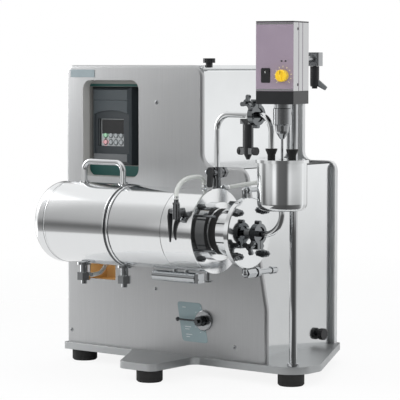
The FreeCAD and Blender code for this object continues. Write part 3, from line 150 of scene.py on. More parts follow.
def object_place(tree: bpy.types.NodeTree, scale: Sequence[float]) -> Socket:
    """Object coordinates in metres, scaled along X, Y and Z."""
    place = add(tree, "ShaderNodeTexCoord")
    return add(tree, "ShaderNodeMapping", {"Vector": place.outputs["Object"], "Scale": scale}).outputs[0]


@dataclass(frozen=True)
class Metal:
    """Bare metal, brushed, turned or polished.

    The grain is noise drawn out along the direction of work. It breaks the gloss into fine
    streaks, and slow waves in the sheet bend what it mirrors.
    """

    name: str
    slot: str
    dark: str
    light: str
    roughness: float
    roughness_spread: float
    grain: Grain = Grain.NONE
    grain_mm: float = 0.8
    grain_length_mm: float = 60.0
    grain_depth_mm: float = 0.004
    wave_mm: float = 90.0
    wave_depth_mm: float = 0.05

    def stretch(self) -> tuple[float, float, float]:
        """Pattern scale per metre, fine across the grain and slow along it."""
        across = 1.0 / (self.grain_mm * MM)
        along = 1.0 / (self.grain_length_mm * MM)
        scales = {
            Grain.NONE: (along, along, along),
            Grain.UPRIGHT: (across, across, along),
            Grain.LEVEL: (along, across, across),
            Grain.ROUND: (across, along, along),
            Grain.SPUN: (along, along, across),
        }
        return scales[self.grain]

    def build(self) -> bpy.types.Material:
        """Make the material.

        Streaks and waves each average a half, so their product averages a quarter, which the range
        puts at the finish's own roughness.
        """
        material, tree = new_material(self.name)
        streaks = add(tree, "ShaderNodeTexNoise", {"Vector": object_place(tree, self.stretch()),
                                                  "Scale": 1.0, "Detail": 3.0, "Roughness": 0.6}).outputs[0]
        wave = 1.0 / (self.wave_mm * MM)
        waves = add(tree, "ShaderNodeTexNoise", {"Vector": object_place(tree, (wave, wave, wave)),
                                                "Scale": 1.0, "Detail": 1.0}).outputs[0]
        worn = add(tree, "ShaderNodeMath", {0: streaks, 1: waves}, operation="MULTIPLY").outputs[0]
        rough = add(tree, "ShaderNodeMapRange", {
            "Value": worn, "To Min": self.roughness - self.roughness_spread,
            "To Max": self.roughness + 3 * self.roughness_spread}).outputs[0]
        relief = add(tree, "ShaderNodeBump", {
            "Height": waves, "Distance": self.wave_depth_mm * MM, "Strength": 1.0}).outputs[0]
        if self.grain is not Grain.NONE:
            relief = add(tree, "ShaderNodeBump", {
                "Height": streaks, "Distance": self.grain_depth_mm * MM, "Strength": 1.0,
                "Normal": relief}).outputs[0]
        colour = add(tree, "ShaderNodeMix", {"Factor": streaks, 6: linear(self.dark), 7: linear(self.light)},
                     data_type="RGBA").outputs[2]
        shader = add(tree, "ShaderNodeBsdfPrincipled", {
            "Base Color": colour, "Metallic": 1.0, "Roughness": rough, "Normal": relief})
        add(tree, "ShaderNodeOutputMaterial", {"Surface": shader.outputs[0]})
        return material


@dataclass(frozen=True)
class Moulding:
    """Moulded plastic or a paint film with a fine even texture.

    Small cells give the skin its soft gloss, and slow noise keeps large faces from being flat.
    """

    name: str
    slot: str
    dark: str
    light: str
    roughness: float
    texture_mm: float = 0.6
    texture_depth_mm: float = 0.01
    coat: float = 0.0
    coat_roughness: float = 0.12
    roughness_spread: float = 0.06
    cells_per_cloud: float = 60.0
    refraction: float = 1.5

    def build(self) -> bpy.types.Material:
        """Make the material."""
        material, tree = new_material(self.name)
        fine = 1.0 / (self.texture_mm * MM)
        slow = fine / self.cells_per_cloud
        cells, cloud = [add(tree, "ShaderNodeTexNoise", {"Vector": object_place(tree, (size, size, size)),
                                                         "Scale": 1.0, "Detail": 2.0}).outputs[0]
                        for size in (fine, slow)]
        colour = add(tree, "ShaderNodeMix", {"Factor": cloud, 6: linear(self.dark), 7: linear(self.light)},
                     data_type="RGBA").outputs[2]
        rough = add(tree, "ShaderNodeMapRange", {
            "Value": cells, "To Min": self.roughness - self.roughness_spread,
            "To Max": self.roughness + self.roughness_spread}).outputs[0]
        relief = add(tree, "ShaderNodeBump", {
            "Height": cells, "Distance": self.texture_depth_mm * MM, "Strength": 1.0}).outputs[0]
        shader = add(tree, "ShaderNodeBsdfPrincipled", {
            "Base Color": colour, "Roughness": rough, "Normal": relief, "Coat Weight": self.coat,
            "Coat Roughness": self.coat_roughness, "IOR": self.refraction})
        add(tree, "ShaderNodeOutputMaterial", {"Surface": shader.outputs[0]})
        return material


@dataclass(frozen=True)
class ClearHose:
    """Extruded silicone hose: milky, soft gloss, light passes through it."""

    name: str = "extruded_silicone"
    slot: str = "clear_hose"
    dark: str = "#D3D6D2"
    light: str = "#E4E6E3"
    clouds_per_metre: float = 90.0
    gloss: tuple[float, float] = (0.16, 0.28)
    clearness: float = 0.3
    refraction: float = 1.41

    def build(self) -> bpy.types.Material:
        """Make the material."""
        material, tree = new_material(self.name)
        place = object_place(tree, (self.clouds_per_metre,) * 3)
        cloud = add(tree, "ShaderNodeTexNoise", {"Vector": place, "Scale": 1.0, "Detail": 2.0}).outputs[0]
        colour = add(tree, "ShaderNodeMix", {"Factor": cloud, 6: linear(self.dark), 7: linear(self.light)},
                     data_type="RGBA").outputs[2]
        rough = add(tree, "ShaderNodeMapRange", {
            "Value": cloud, "To Min": self.gloss[0], "To Max": self.gloss[1]}).outputs[0]
        shader = add(tree, "ShaderNodeBsdfPrincipled", {
            "Base Color": colour, "Roughness": rough, "Transmission Weight": self.clearness,
            "IOR": self.refraction})
        add(tree, "ShaderNodeOutputMaterial", {"Surface": shader.outputs[0]})
        return material


@dataclass(frozen=True)
class DisplayGlass:
    """Liquid crystal window, switched off: dark rows of small cells behind a glossy cover."""

    name: str = "display_glass"
    slot: str = "keypad_grey"
    row_mm: float = 5.2
    cell_mm: float = 3.4
    line_share: float = 0.06
    cell_colours: tuple[str, str] = ("#1D1E1F", "#191A1B")
    line_colour: str = "#141516"
    roughness: float = 0.25
    cover: float = 0.3
    cover_roughness: float = 0.04

    def build(self) -> bpy.types.Material:
        """Make the material."""
        material, tree = new_material(self.name)
        place = object_place(tree, (1 / (self.cell_mm * MM), 1.0, 1 / (self.row_mm * MM)))
        upright = add(tree, "ShaderNodeVectorRotate", {"Vector": place, "Angle": math.pi / 2},
                      rotation_type="X_AXIS")
        bricks = add(tree, "ShaderNodeTexBrick", {
            "Vector": upright.outputs[0], "Color1": linear(self.cell_colours[0]),
            "Color2": linear(self.cell_colours[1]), "Mortar": linear(self.line_colour),
            "Scale": 1.0, "Mortar Size": self.line_share, "Brick Width": 1.0, "Row Height": 1.0})
        shader = add(tree, "ShaderNodeBsdfPrincipled", {
            "Base Color": bricks.outputs["Color"], "Roughness": self.roughness, "Coat Weight": self.cover,
            "Coat Roughness": self.cover_roughness})
        add(tree, "ShaderNodeOutputMaterial", {"Surface": shader.outputs[0]})
        return material


# Rolled sheet. Brushing breaks what it mirrors into streaks, polish keeps it sharp but wavy, and a
# satin finish blurs it to an even tone.
BRUSHED_SHEET = Metal("brushed_stainless_sheet", "brushed_sheet", "#B0B1B2", "#C0C1C2", 0.42, 0.04,
                      Grain.UPRIGHT, grain_mm=1.1, grain_length_mm=90.0, grain_depth_mm=0.0015,
                      wave_depth_mm=0.02)
MIRROR_SHEET = Metal("mirror_polished_sheet", "polished_sheet", "#E0E2E3", "#E8EAEB", 0.12, 0.03,
                     Grain.NONE, wave_mm=160.0, wave_depth_mm=0.10)
SATIN_SHEET = Metal("satin_stainless_sheet", "polished_sheet", "#F2F3F4", "#FAFBFB", 0.85, 0.04,
                    Grain.LEVEL, grain_depth_mm=0.001, wave_depth_mm=0.02)
# Turned, spun, drawn and ground steel. Fine lines along the tool's path spread highlights across
# them.
BARREL_SKIN = Metal("polished_barrel", "polished_sheet", "#E2E4E5", "#ECEDEE", 0.12, 0.02, Grain.ROUND,
                    grain_mm=0.8, grain_length_mm=120.0, grain_depth_mm=0.0006, wave_depth_mm=0.008)
TURNED_STEEL = Metal("turned_stainless", "turned_steel", "#D2D4D5", "#E2E4E5", 0.10, 0.03, Grain.ROUND,
                     grain_mm=0.9, grain_length_mm=80.0, grain_depth_mm=0.002, wave_depth_mm=0.005)
SPUN_STEEL = Metal("spun_stainless", "polished_steel", "#DCDEDF", "#E8EAEB", 0.09, 0.02, Grain.SPUN,
                   grain_mm=0.8, grain_length_mm=60.0, grain_depth_mm=0.0015, wave_depth_mm=0.01)
ROD_STEEL = Metal("drawn_rod", "polished_steel", "#BCBEC0", "#CACCCE", 0.07, 0.02, Grain.SPUN,
                  grain_mm=0.7, grain_length_mm=80.0, grain_depth_mm=0.001, wave_depth_mm=0.005)
GROUND_STEEL = Metal("ground_tool_steel", "machine_steel", "#9C9EA0", "#B2B4B6", 0.22, 0.05, Grain.SPUN,
                     grain_mm=0.7, grain_length_mm=20.0, wave_depth_mm=0.01)
BLACKED_STEEL = Metal("blackened_steel", "machine_steel", "#4E5052", "#5E6062", 0.25, 0.05, Grain.SPUN,
                      wave_mm=20.0, wave_depth_mm=0.02)
CHUCK_STEEL = Metal("hardened_chuck_steel", "chuck_steel", "#A4A6A8", "#BABCBE", 0.17, 0.04, Grain.SPUN,
                    grain_mm=0.7, grain_length_mm=20.0, wave_depth_mm=0.01)
# Electropolished, cast and machined steel. There are no lines, and small waves bend what it mirrors.
BRIGHT_STEEL = Metal("electropolished_steel", "polished_steel", "#D8DADB", "#E6E8E9", 0.08, 0.02,
                     Grain.NONE, wave_mm=40.0, wave_depth_mm=0.01)
CAST_STEEL = Metal("tumbled_cast_stainless", "polished_steel", "#6E7173", "#85888A", 0.12, 0.04,
                   Grain.NONE, wave_mm=14.0, wave_depth_mm=0.05)
FITTING_STEEL = Metal("turned_fittings", "polished_steel", "#B0B3B5", "#C2C5C7", 0.09, 0.03, Grain.NONE,
                      wave_mm=12.0, wave_depth_mm=0.02)
VALVE_STEEL = Metal("dark_valve_steel", "turned_steel", "#6C6E70", "#828486", 0.14, 0.04, Grain.NONE,
                    wave_mm=14.0, wave_depth_mm=0.03)
BOSS_STEEL = Metal("machined_boss", "turned_steel", "#96989A", "#AAACAE", 0.20, 0.05, Grain.NONE,
                   wave_mm=20.0, wave_depth_mm=0.04)
# Aluminium with a soft grey gloss, and stacked sheet steel that is dull and dark.
SATIN_ALUMINIUM = Metal("milled_aluminium", "satin_plate", "#B0B2B3", "#BEC0C1", 0.40, 0.05, Grain.LEVEL,
                        grain_mm=1.0, grain_length_mm=70.0, wave_depth_mm=0.01)
EXTRUDED_ALUMINIUM = Metal("anodised_aluminium", "mauve_panel", "#C2C3C4", "#CDCECF", 0.34, 0.04,
                           Grain.UPRIGHT, grain_mm=0.8, grain_length_mm=60.0, wave_depth_mm=0.01)
LAMINATIONS = Metal("stacked_laminations", "laminated_steel", "#6C6C6E", "#8C8C8E", 0.45, 0.06, Grain.ROUND,
                    grain_mm=0.9, grain_length_mm=80.0, grain_depth_mm=0.02)
# Moulded plastic with a fine even grain and a soft gloss. The knob is smoother and brighter.
BLACK_PLASTIC = Moulding("black_polyamide", "black_plastic", "#1B1C1E", "#242527", 0.42)
CHARCOAL_PLASTIC = Moulding("charcoal_abs", "charcoal_plastic", "#3C4347", "#454C50", 0.42)
DARK_PLASTIC = Moulding("dark_abs", "charcoal_plastic", "#2C3235", "#34393D", 0.40)
GREY_PLASTIC = Moulding("grey_abs", "charcoal_plastic", "#5E6163", "#696C6E", 0.42)
YELLOW_KNOB = Moulding("yellow_polystyrene", "yellow_plastic", "#F2C41C", "#F9D22B", 0.3, coat=0.6)
# Powder coat and enamel, which hide the metal under an even film.
# A paler copy of the collar paint for the window's edge walls: painted light on walls that lie in shade.
COLLAR_PAINTED_LIGHT = Moulding("collar_painted_light", "teal_sheet", "#B4B3B0", "#BFBEBB", 0.4, texture_mm=1.2)
COLLAR_PAINT = Moulding("grey_powder_coat", "teal_sheet", "#83827F", "#908F8C", 0.4, texture_mm=1.2)
TEAL_PAINT = Moulding("teal_powder_coat", "teal_sheet", "#083E3A", "#0B4843", 0.5, texture_mm=1.2)
COPPER_PAINT = Moulding("amber_enamel", "copper_brown", "#F2CB8C", "#F8D69C", 0.42, texture_mm=1.5)
# Silicone keys, matt and pale.
KEY_GREY = Moulding("silicone_key_grey", "key_grey", "#A3A8AA", "#AEB3B5", 0.5)
KEY_GREEN = Moulding("silicone_key_green", "key_green", "#A6DAB4", "#B2E2BF", 0.5)
KEY_RED = Moulding("silicone_key_red", "key_red", "#EBAEB3", "#F1B9BD", 0.5)
# Polyester foil with a clear coat that adds a thin gloss, and opaque screen print.
KEYPAD_FOIL = Moulding("printed_polyester_foil", "keypad_grey", "#A6AAAB", "#B1B5B6", 0.40, coat=0.3)
MAUVE_FOIL = Moulding("mauve_front_foil", "mauve_panel", "#8F8190", "#998B99", 0.42, coat=0.2)
GREY_FOIL = Moulding("grey_name_plate_foil", "keypad_grey", "#879498", "#95A1A6", 0.4, coat=0.3)
TEAL_FOIL = Moulding("teal_label_foil", "teal_sheet", "#7D8F93", "#879A9E", 0.4, coat=0.3)
CREAM_PRINT = Moulding("cream_screen_print", "key_grey", "#E4D7A6", "#EEE2B4", 0.5)
WHITE_PRINT = Moulding("white_screen_print", "key_grey", "#D8DBDB", "#E2E4E4", 0.5)
# Rubber with a coarser skin and little gloss.
RUBBER = Moulding("black_moulded_rubber", "black_rubber", "#151515", "#1E1E1E", 0.68, texture_mm=1.0,
                  texture_depth_mm=0.03)
SEAL_RUBBER = Moulding("grey_seal_rubber", "seal_grey", "#8B8D8E", "#999B9C", 0.5, texture_mm=1.0)
HOSE = ClearHose()
DISPLAY = DisplayGlass()

Finish = Union[Metal, Moulding, ClearHose, DisplayGlass]
_built: dict[str, bpy.types.Material] = {}


def material_of(finish: Finish) -> bpy.types.Material:
    """Build a finish once and hand out the same material after that."""
    if finish.name not in _built:
        _built[finish.name] = finish.build()
    return _built[finish.name]


@dataclass(frozen=True)
class Datum:
    """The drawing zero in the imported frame, in metres."""

    x: float
    y: float
    z: float

    @classmethod
    def from_frame(cls) -> "Datum":
        """Take the zero from the front panel's box."""
        low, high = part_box("front_panel")
        return cls(high.x, low.y, low.z)

    def at(self, x: float, y: float, z: float) -> np.ndarray:
        """Turn drawing millimetres into a point of the frame."""
        return np.array([self.x, self.y, self.z]) + np.array([x, y, z]) * MM


def tidy_mesh(mesh: bpy.types.Mesh, angle: float, turn_out: bool) -> None:
    """Close seams and poles, turn faces outwards and shade smooth up to an angle.

    Args:
        mesh: Mesh that is changed.
        angle: Edges that turn more than this stay sharp, in degrees.
        turn_out: Work the face directions out afresh.
    """
    work = bmesh.new()
    work.from_mesh(mesh)
    bmesh.ops.remove_doubles(work, verts=work.verts, dist=1e-6)
    bmesh.ops.dissolve_degenerate(work, edges=work.edges, dist=1e-7)
    if turn_out:
        bmesh.ops.recalc_face_normals(work, faces=work.faces)
    work.to_mesh(mesh)
    work.free()
    if "custom_normal" in mesh.attributes:
        mesh.attributes.remove(mesh.attributes["custom_normal"])
    mesh.polygons.foreach_set("use_smooth", np.ones(len(mesh.polygons), bool))
    mesh.set_sharp_from_angle(angle=math.radians(angle))
    mesh.update()


def link(name: str, mesh: bpy.types.Mesh, finish: Finish, body: str) -> bpy.types.Object:
    """Put a mesh into the scene as a finished piece on a body."""
    piece = bpy.data.objects.new(name, mesh)
    bpy.context.scene.collection.objects.link(piece)
    piece.data.materials.clear()
    piece.data.materials.append(material_of(finish))
    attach(piece, body)
    LOG.info("%s: %d faces on %s", name, len(mesh.polygons), body)
    return piece


def ease_edges(piece: bpy.types.Object, width_mm: float, angle: float = 40.0) -> None:
    """Round the sharp edges of a piece by a small width."""
    bevel = piece.modifiers.new("eased", "BEVEL")
    bevel.width = width_mm * MM
    bevel.segments = 2
    bevel.limit_method = "ANGLE"
    bevel.angle_limit = math.radians(angle)
    bevel.use_clamp_overlap = True
    bevel.harden_normals = True


def surface(name: str, points: np.ndarray, around: bool, finish: Finish, body: str,
            angle: float = 35.0) -> bpy.types.Object:
    """Piece from a grid of points: rows run along the shape, columns run round it.

    Args:
        name: Name of the piece.
        points: Array of rows by columns by three.
        around: The last column joins the first, and the rows form a closed loop too.
        finish: Material.
        body: Body that carries the piece.
        angle: Edges that turn more than this stay sharp, in degrees.

    Returns:
        The piece.
    """
    rows, columns = points.shape[:2]
    numbers = np.arange(rows * columns).reshape(rows, columns)
    ahead = np.roll(numbers, -1, axis=1)
    below = np.roll(numbers, -1, axis=0)
    corner = np.roll(below, -1, axis=1)
    quads = np.stack([numbers, ahead, corner, below], axis=-1)
    if not around:
        quads = quads[:-1, :-1]
    mesh = bpy.data.meshes.new(name)
    mesh.from_pydata(points.reshape(-1, 3).tolist(), [], quads.reshape(-1, 4).tolist())
    tidy_mesh(mesh, angle, True)
    return link(name, mesh, finish, body)


def square_axes(direction: np.ndarray) -> tuple[np.ndarray, np.ndarray]:
    """Two unit vectors square to a direction and to each other."""
    helper = UP if abs(direction[2]) < 0.9 else RIGHT
    first = np.cross(helper, direction)
    first = first / np.linalg.norm(first)
    return first, np.cross(direction, first)


def turned(name: str, profile: Sequence[tuple[float, float]], origin: np.ndarray, direction: np.ndarray,
           finish: Finish, body: str, segments: int = 48, angle: float = 35.0) -> bpy.types.Object:
    """Piece turned about an axis.

    The point at angle t and profile point (r, h) is origin + h along the axis + r times
    (cos t first + sin t second), with both lengths in millimetres.

    Args:
        name: Name of the piece.
        profile: Closed loop of radius and height.
        origin: Point on the axis, in metres.
        direction: Axis.
        finish: Material.
        body: Body that carries the piece.
        segments: Number of steps round the axis.
        angle: Edges that turn more than this stay sharp, in degrees.

    Returns:
        The piece.
    """
    axis = np.asarray(direction, float) / np.linalg.norm(direction)
    first, second = square_axes(axis)
    loop = np.array(profile, float) * MM
    turn = np.linspace(0, 2 * np.pi, segments, endpoint=False)
    spokes = np.outer(np.cos(turn), first) + np.outer(np.sin(turn), second)
    points = origin + loop[:, 1, None, None] * axis + loop[:, 0, None, None] * spokes[None]
    return surface(name, points, True, finish, body, angle)


def plate(name: str, outline: np.ndarray, origin: np.ndarray, across: np.ndarray, rise: np.ndarray,
          thickness_mm: float, finish: Finish, body: str, eased_mm: float = 0.0) -> bpy.types.Object:
    """Flat piece: an outline in millimetres on a plane, extruded towards across x rise.

    Args:
        name: Name of the piece.
        outline: Points of the outline, anticlockwise seen from the front.
        origin: Zero of the outline, in metres.
        across: Unit vector of the first coordinate.
        rise: Unit vector of the second coordinate.
        thickness_mm: Height of the piece above the plane.
        finish: Material.
        body: Body that carries the piece.
        eased_mm: Width of the eased edge, or nought.

    Returns:
        The piece.
    """
    out = np.cross(across, rise)
    flat = np.asarray(outline, float) * MM
    low = origin + flat[:, :1] * across + flat[:, 1:] * rise
    high = low + out * thickness_mm * MM
    count = len(flat)
    ring = np.arange(count)
    after = np.roll(ring, -1)
    sides = np.stack([ring, after, after + count, ring + count], axis=1).tolist()
    mesh = bpy.data.meshes.new(name)
    mesh.from_pydata(np.vstack([low, high]).tolist(), [],
                     sides + [ring[::-1].tolist(), (ring + count).tolist()])
    tidy_mesh(mesh, 30.0, True)
    piece = link(name, mesh, finish, body)
    if eased_mm:
        ease_edges(piece, eased_mm)
    return piece


def rounded_box(width: float, height: float, radius: float, steps: int = 6) -> np.ndarray:
    """Outline of a rectangle about zero with quarter circles at its corners."""
    quarter = np.linspace(0, np.pi / 2, steps)
    arc = np.stack([np.cos(quarter), np.sin(quarter)], axis=1) * radius
    turns = [np.array([[1, 0], [0, 1]]), np.array([[0, 1], [-1, 0]]),
             np.array([[-1, 0], [0, -1]]), np.array([[0, -1], [1, 0]])]
    middles = np.array([[1, 1], [-1, 1], [-1, -1], [1, -1]]) * np.array([width / 2 - radius,
                                                                        height / 2 - radius])
    return np.vstack([arc @ turn + middle for turn, middle in zip(turns, middles)])


def soft_polygon(corners: Sequence[tuple[float, float]], radius: float, steps: int = 5) -> np.ndarray:
    """Outline through corners, each cut back by the radius and rounded by a parabola."""
    points = np.array(corners, float)
    before = np.roll(points, 1, axis=0) - points
    after = np.roll(points, -1, axis=0) - points
    start = points + before / np.linalg.norm(before, axis=1, keepdims=True) * radius
    stop = points + after / np.linalg.norm(after, axis=1, keepdims=True) * radius
    t = np.linspace(0, 1, steps)[None, :, None]
    curve = (1 - t) ** 2 * start[:, None] + 2 * t * (1 - t) * points[:, None] + t ** 2 * stop[:, None]
    return curve.reshape(-1, 2)


@dataclass
class Dressing:
    """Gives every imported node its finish."""

    frame: dict
    home: dict[str, str] = field(default_factory=dict)

    def __post_init__(self) -> None:
        """Note the body of each node."""
        for body, members in self.frame["record"]["behaviour"]["bodies"].items():
            for node in members:
                self.home[node] = body

    def dress(self, node: str, finish: Finish, treatment: Treatment, angle: float = 32.0,
              eased_mm: float = 0.5) -> bpy.types.Object:
        """Finish one node.

        Args:
            node: Name of the node.
            finish: Material.
            treatment: How the node is shown.
            angle: Edges that turn more than this stay sharp, in degrees.
            eased_mm: Width of eased edges.

        Returns:
            The object that is shown.
        """
        packed = self.frame["nodes"][node]
        if treatment is Treatment.KEEP:
            packed.data.materials.clear()
            packed.data.materials.append(material_of(finish))
            return packed
        mesh = packed.data.copy()
        tidy_mesh(mesh, angle, False)
        if treatment is Treatment.EASED:
            self.join_flats(mesh)
            tidy_mesh(mesh, angle, False)
        piece = link(node + "_skin", mesh, finish, self.home[node])
        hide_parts(node)
        if treatment is Treatment.EASED:
            ease_edges(piece, eased_mm)
        return piece

    @staticmethod
    def join_flats(mesh: bpy.types.Mesh) -> None:
        """Join triangles that lie in one plane, so that only real edges are eased."""
        work = bmesh.new()
        work.from_mesh(mesh)
        bmesh.ops.dissolve_limit(work, angle_limit=math.radians(0.3), verts=work.verts, edges=work.edges)
        work.to_mesh(mesh)
        work.free()

    def dress_all(self) -> None:
        """Finish all nodes that need no faces picked out."""
        smooth = Treatment.SMOOTH
        eased = Treatment.EASED
        table: list[tuple[Finish, Treatment, tuple[str, ...]]] = [
            (SATIN_ALUMINIUM, eased, ("base_plate",)),
            (RUBBER, smooth, ("rubber_feet", "vessel_bungs")),
            (MIRROR_SHEET, smooth, ("cabinet_body",)),
            (SATIN_SHEET, smooth, ("back_plate",)),
            (MIRROR_SHEET, eased, ("top_lid",)),
            (BARREL_SKIN, smooth, ("motor_cover", "bearing_housing", "seal_flange")),
            (TURNED_STEEL, smooth, ("grinding_chamber", "end_flange")),
            (TURNED_STEEL, eased, ("barrel_bracket",)),
            (BOSS_STEEL, eased, ("boss_head",)),
            (BOSS_STEEL, smooth, ("selector_bezel",)),
            (VALVE_STEEL, smooth, ("valve_bodies",)),
            (BRIGHT_STEEL, smooth, ("bail_handle",)),
            (ROD_STEEL, smooth, ("stand_rod",)),
            (CAST_STEEL, smooth, ("flange_nuts", "return_clamp_nut", "inlet_clamp_nut", "pipe_clamps")),
            (FITTING_STEEL, smooth, ("coolant_fittings",)),
            (SPUN_STEEL, smooth, ("vessel", "vessel_lid")),
            (GROUND_STEEL, smooth, ("rotor_shaft", "shaft_bearings", "agitator", "separation_screen")),
            (BLACKED_STEEL, smooth, ("selector_knob",)),
            (CHUCK_STEEL, smooth, ("stirrer_spindle",)),
            (LAMINATIONS, smooth, ("motor_stator",)),
            (SEAL_RUBBER, smooth, ("shaft_seals",)),
            (COPPER_PAINT, Treatment.KEEP, ("slot_tray",)),
            (KEYPAD_FOIL, Treatment.KEEP, ("keypad_plate",)),
            (BLACK_PLASTIC, smooth, ("lid_knob", "wall_knob", "riser_valve_lever", "mini_valve_lever",
                                     "sampling_knob")),
            (BLACK_PLASTIC, eased, ("stirrer_caps", "stirrer_switch")),
            (YELLOW_KNOB, smooth, ("stirrer_speed_knob",)),
        ]
        for finish, treatment, nodes in table:
            for node in nodes:
                self.dress(node, finish, treatment)
        for column in range(1, 5):
            for row in range(1, 3):
                node = f"key_{column}_{row}"
                finish = {"key_1_2": KEY_GREEN, "key_1_1": KEY_RED}.get(node, KEY_GREY)
                self.dress(node, finish, smooth)

    @staticmethod
    def paint(piece: bpy.types.Object, finish: Finish, picked: Callable[[Vector, Vector], bool]) -> None:
        """Give a second finish to the faces whose centre and direction pass a test."""
        piece.data.materials.append(material_of(finish))
        index = len(piece.data.materials) - 1
        for face in piece.data.polygons:
            if picked(face.center, face.normal):
                face.material_index = index


@dataclass
class Valves:
    """Two-tone finish of the sampling valve, the clamping lever and the clamped pipes."""

    sleeve_radius: float = 8.5
    sleeve_skin: float = 0.3
    lever_grey_below: float = 0.012
    pipe_radius: float = 6.0
    pipe_skin: float = 0.5
    ferrule_half: float = 3.4
    ferrules: tuple[tuple[Point, Point], ...] = (
        ((62.0, -117.1, 506.0), (0.9972, -0.0745, 0.0)), ((69.0, -120.0, 276.0), (1.0, 0.0, 0.0)))

    def in_ferrule(self, datum: Datum, centre: Vector) -> bool:
        """Tell whether a face of the pipes belongs to a clamped ferrule."""
        for place, way in self.ferrules:
            off = np.array(centre) - datum.at(*place)
            along = float(off @ np.array(way))
            across = float(np.linalg.norm(off - along * np.array(way)))
            if abs(along) < self.ferrule_half * MM and across > (self.pipe_radius + self.pipe_skin) * MM:
                return True
        return False

    def build(self, datum: Datum, dressing: Dressing) -> None:
        """Finish the valve, the lever and the pipes.

        Args:
            datum: Drawing zero.
            dressing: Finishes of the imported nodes.
        """
        pipes = dressing.dress("process_pipes", BRIGHT_STEEL, Treatment.SMOOTH)
        dressing.paint(pipes, CAST_STEEL, lambda centre, normal: self.in_ferrule(datum, centre))
        valve = dressing.dress("sampling_valve", BLACK_PLASTIC, Treatment.SMOOTH)
        low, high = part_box("sampling_valve")
        middle = ((low.x + high.x) / 2, (low.y + high.y) / 2)
        dressing.paint(valve, BOSS_STEEL, lambda centre, normal: math.hypot(
            centre.x - middle[0], centre.y - middle[1]) > (self.sleeve_radius + self.sleeve_skin) * MM)
        lever = dressing.dress("boss_lever", BLACK_PLASTIC, Treatment.SMOOTH)
        low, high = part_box("boss_lever")
        dressing.paint(lever, GREY_PLASTIC, lambda centre, normal: centre.x > high.x - self.lever_grey_below)


@dataclass
class Panel:
    """Small pieces on the front panel: screws, a bare name plate and the plate at the selector."""

    datum: Datum
    screw_places: tuple[tuple[float, float], ...] = ((-285, 524), (-288, 132), (-526, 26), (-78.5, 27))
    screw_radius: float = 4.6
    name_plate: Edges = (-526.0, -457.5, 576.0, 592.5)
    label_top: Point = (-230.0, -167.0, 111.0)
    label_bottom: Point = (-215.0, -148.0, 29.0)
    label_corner: float = 8.0
    label_thickness: float = 0.6
    print_thickness: float = 0.1
    # Height above the base plate and length of each bar.
    bars: tuple[tuple[float, float], ...] = ((100.0, 9.0), (60.0, 16.0), (55.0, 11.0), (44.0, 16.0),
                                             (39.0, 9.0))
    bar_indent: float = 12.0
    selector: tuple[float, float] = (-158.0, 76.0)
    tick_circle: float = 27.0
    tick_size: float = 1.6
    shelf: tuple[float, float, float, float, float] = (-166.5, -72.0, 11.0, 329.0, 392.0)
    shelf_corner: float = 2.0
    shelf_thickness: float = 0.5
    window_low: Point = (-493.0, 0.0, 362.0)
    window_high: Point = (-332.0, 0.0, 572.0)

    def build(self, dressing: Dressing) -> None:
        """Build all pieces.

        Args:
            dressing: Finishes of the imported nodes.
        """
        sheet = dressing.dress("front_panel", BRUSHED_SHEET, Treatment.SMOOTH)
        low = self.datum.at(*self.window_low)
        high = self.datum.at(*self.window_high)
        # The window's edge walls take the paler collar grey, painted light on walls that lie in shade.
        dressing.paint(sheet, COLLAR_PAINTED_LIGHT, lambda centre, normal: abs(normal.y) < 0.5
                       and low[0] < centre.x < high[0] and low[2] < centre.z < high[2])
        for number, (x, z) in enumerate(self.screw_places):
            screw_head(f"panel_screw_{number + 1}", self.datum.at(x, 0, z), -BACK, self.screw_radius, "base")
        upright_plate("bare_name_plate", self.datum, self.name_plate, 0, corner=2.0, thickness=0.8,
                      finish=GREY_FOIL, eased=0.2)
        left, right, front, back, height = self.shelf
        plate("shelf_sheet", rounded_box(right - left, back - front, self.shelf_corner),
              self.datum.at((left + right) / 2, (front + back) / 2, height), RIGHT, BACK,
              self.shelf_thickness, VALVE_STEEL, "base")
        self.label()

    def label(self) -> None:
        """Leaning plate behind the selector, with plain bars in place of print."""
        left, right, top = self.label_top
        low_left, low_right, bottom = self.label_bottom
        corners = [(low_left, bottom), (low_right, bottom), (right, top), (left, top)]
        plate("selector_label", soft_polygon(corners, self.label_corner), self.datum.at(0, 0, 0), RIGHT, UP,
              self.label_thickness, TEAL_FOIL, "base")
        lean = (low_left - left) / (bottom - top)
        for number, (z, length) in enumerate(self.bars):
            start = low_left + (z - bottom) * lean + self.bar_indent
            self.printed(f"label_bar_{number + 1}", rounded_box(length, 1.0, 0.45, 3), start + length / 2, z)
        x, z = self.selector
        for number, degrees in enumerate(range(110, 251, 35)):
            angle = math.radians(degrees)
            self.printed(f"selector_tick_{number + 1}", rounded_box(1.0, 1.0, 0.45, 3) * self.tick_size,
                         x + self.tick_circle * math.cos(angle), z + self.tick_circle * math.sin(angle))

    def printed(self, name: str, outline: np.ndarray, x: float, z: float) -> None:
        """White mark printed on the label's face."""
        plate(name, outline, self.datum.at(x, -self.label_thickness, z), RIGHT, UP, self.print_thickness,
              WHITE_PRINT, "base")


def screw_head(name: str, origin: np.ndarray, direction: np.ndarray, radius: float, body: str,
               finish: Finish = BOSS_STEEL) -> None:
    """Sunk screw head with a hexagon socket, its rim just proud of the sheet.

    The profile runs up the rim and down into a dished middle, and the socket is a thin black hexagon plate:
    painted shade in place of the hole.
    """
    dish = 0.3
    socket_share = 0.42
    profile = [(0, -0.6), (radius, -0.6), (radius, 0.15), (radius * 0.82, 0.45), (radius * 0.5, 0.35),
               (0, dish)]
    turned(name, profile, origin, direction, finish, body, 32)
    # Black hexagon plate as painted shade where the socket's hole would be.
    across, rise = square_axes(np.asarray(direction, float))
    turn = np.linspace(0, 2 * np.pi, 6, endpoint=False)
    hexagon = np.stack([np.cos(turn), np.sin(turn)], axis=1) * radius * socket_share
    plate(name + "_socket_painted_shade", hexagon, origin + np.asarray(direction) * dish * MM, across, rise, 0.12,
          BLACK_PLASTIC, body)


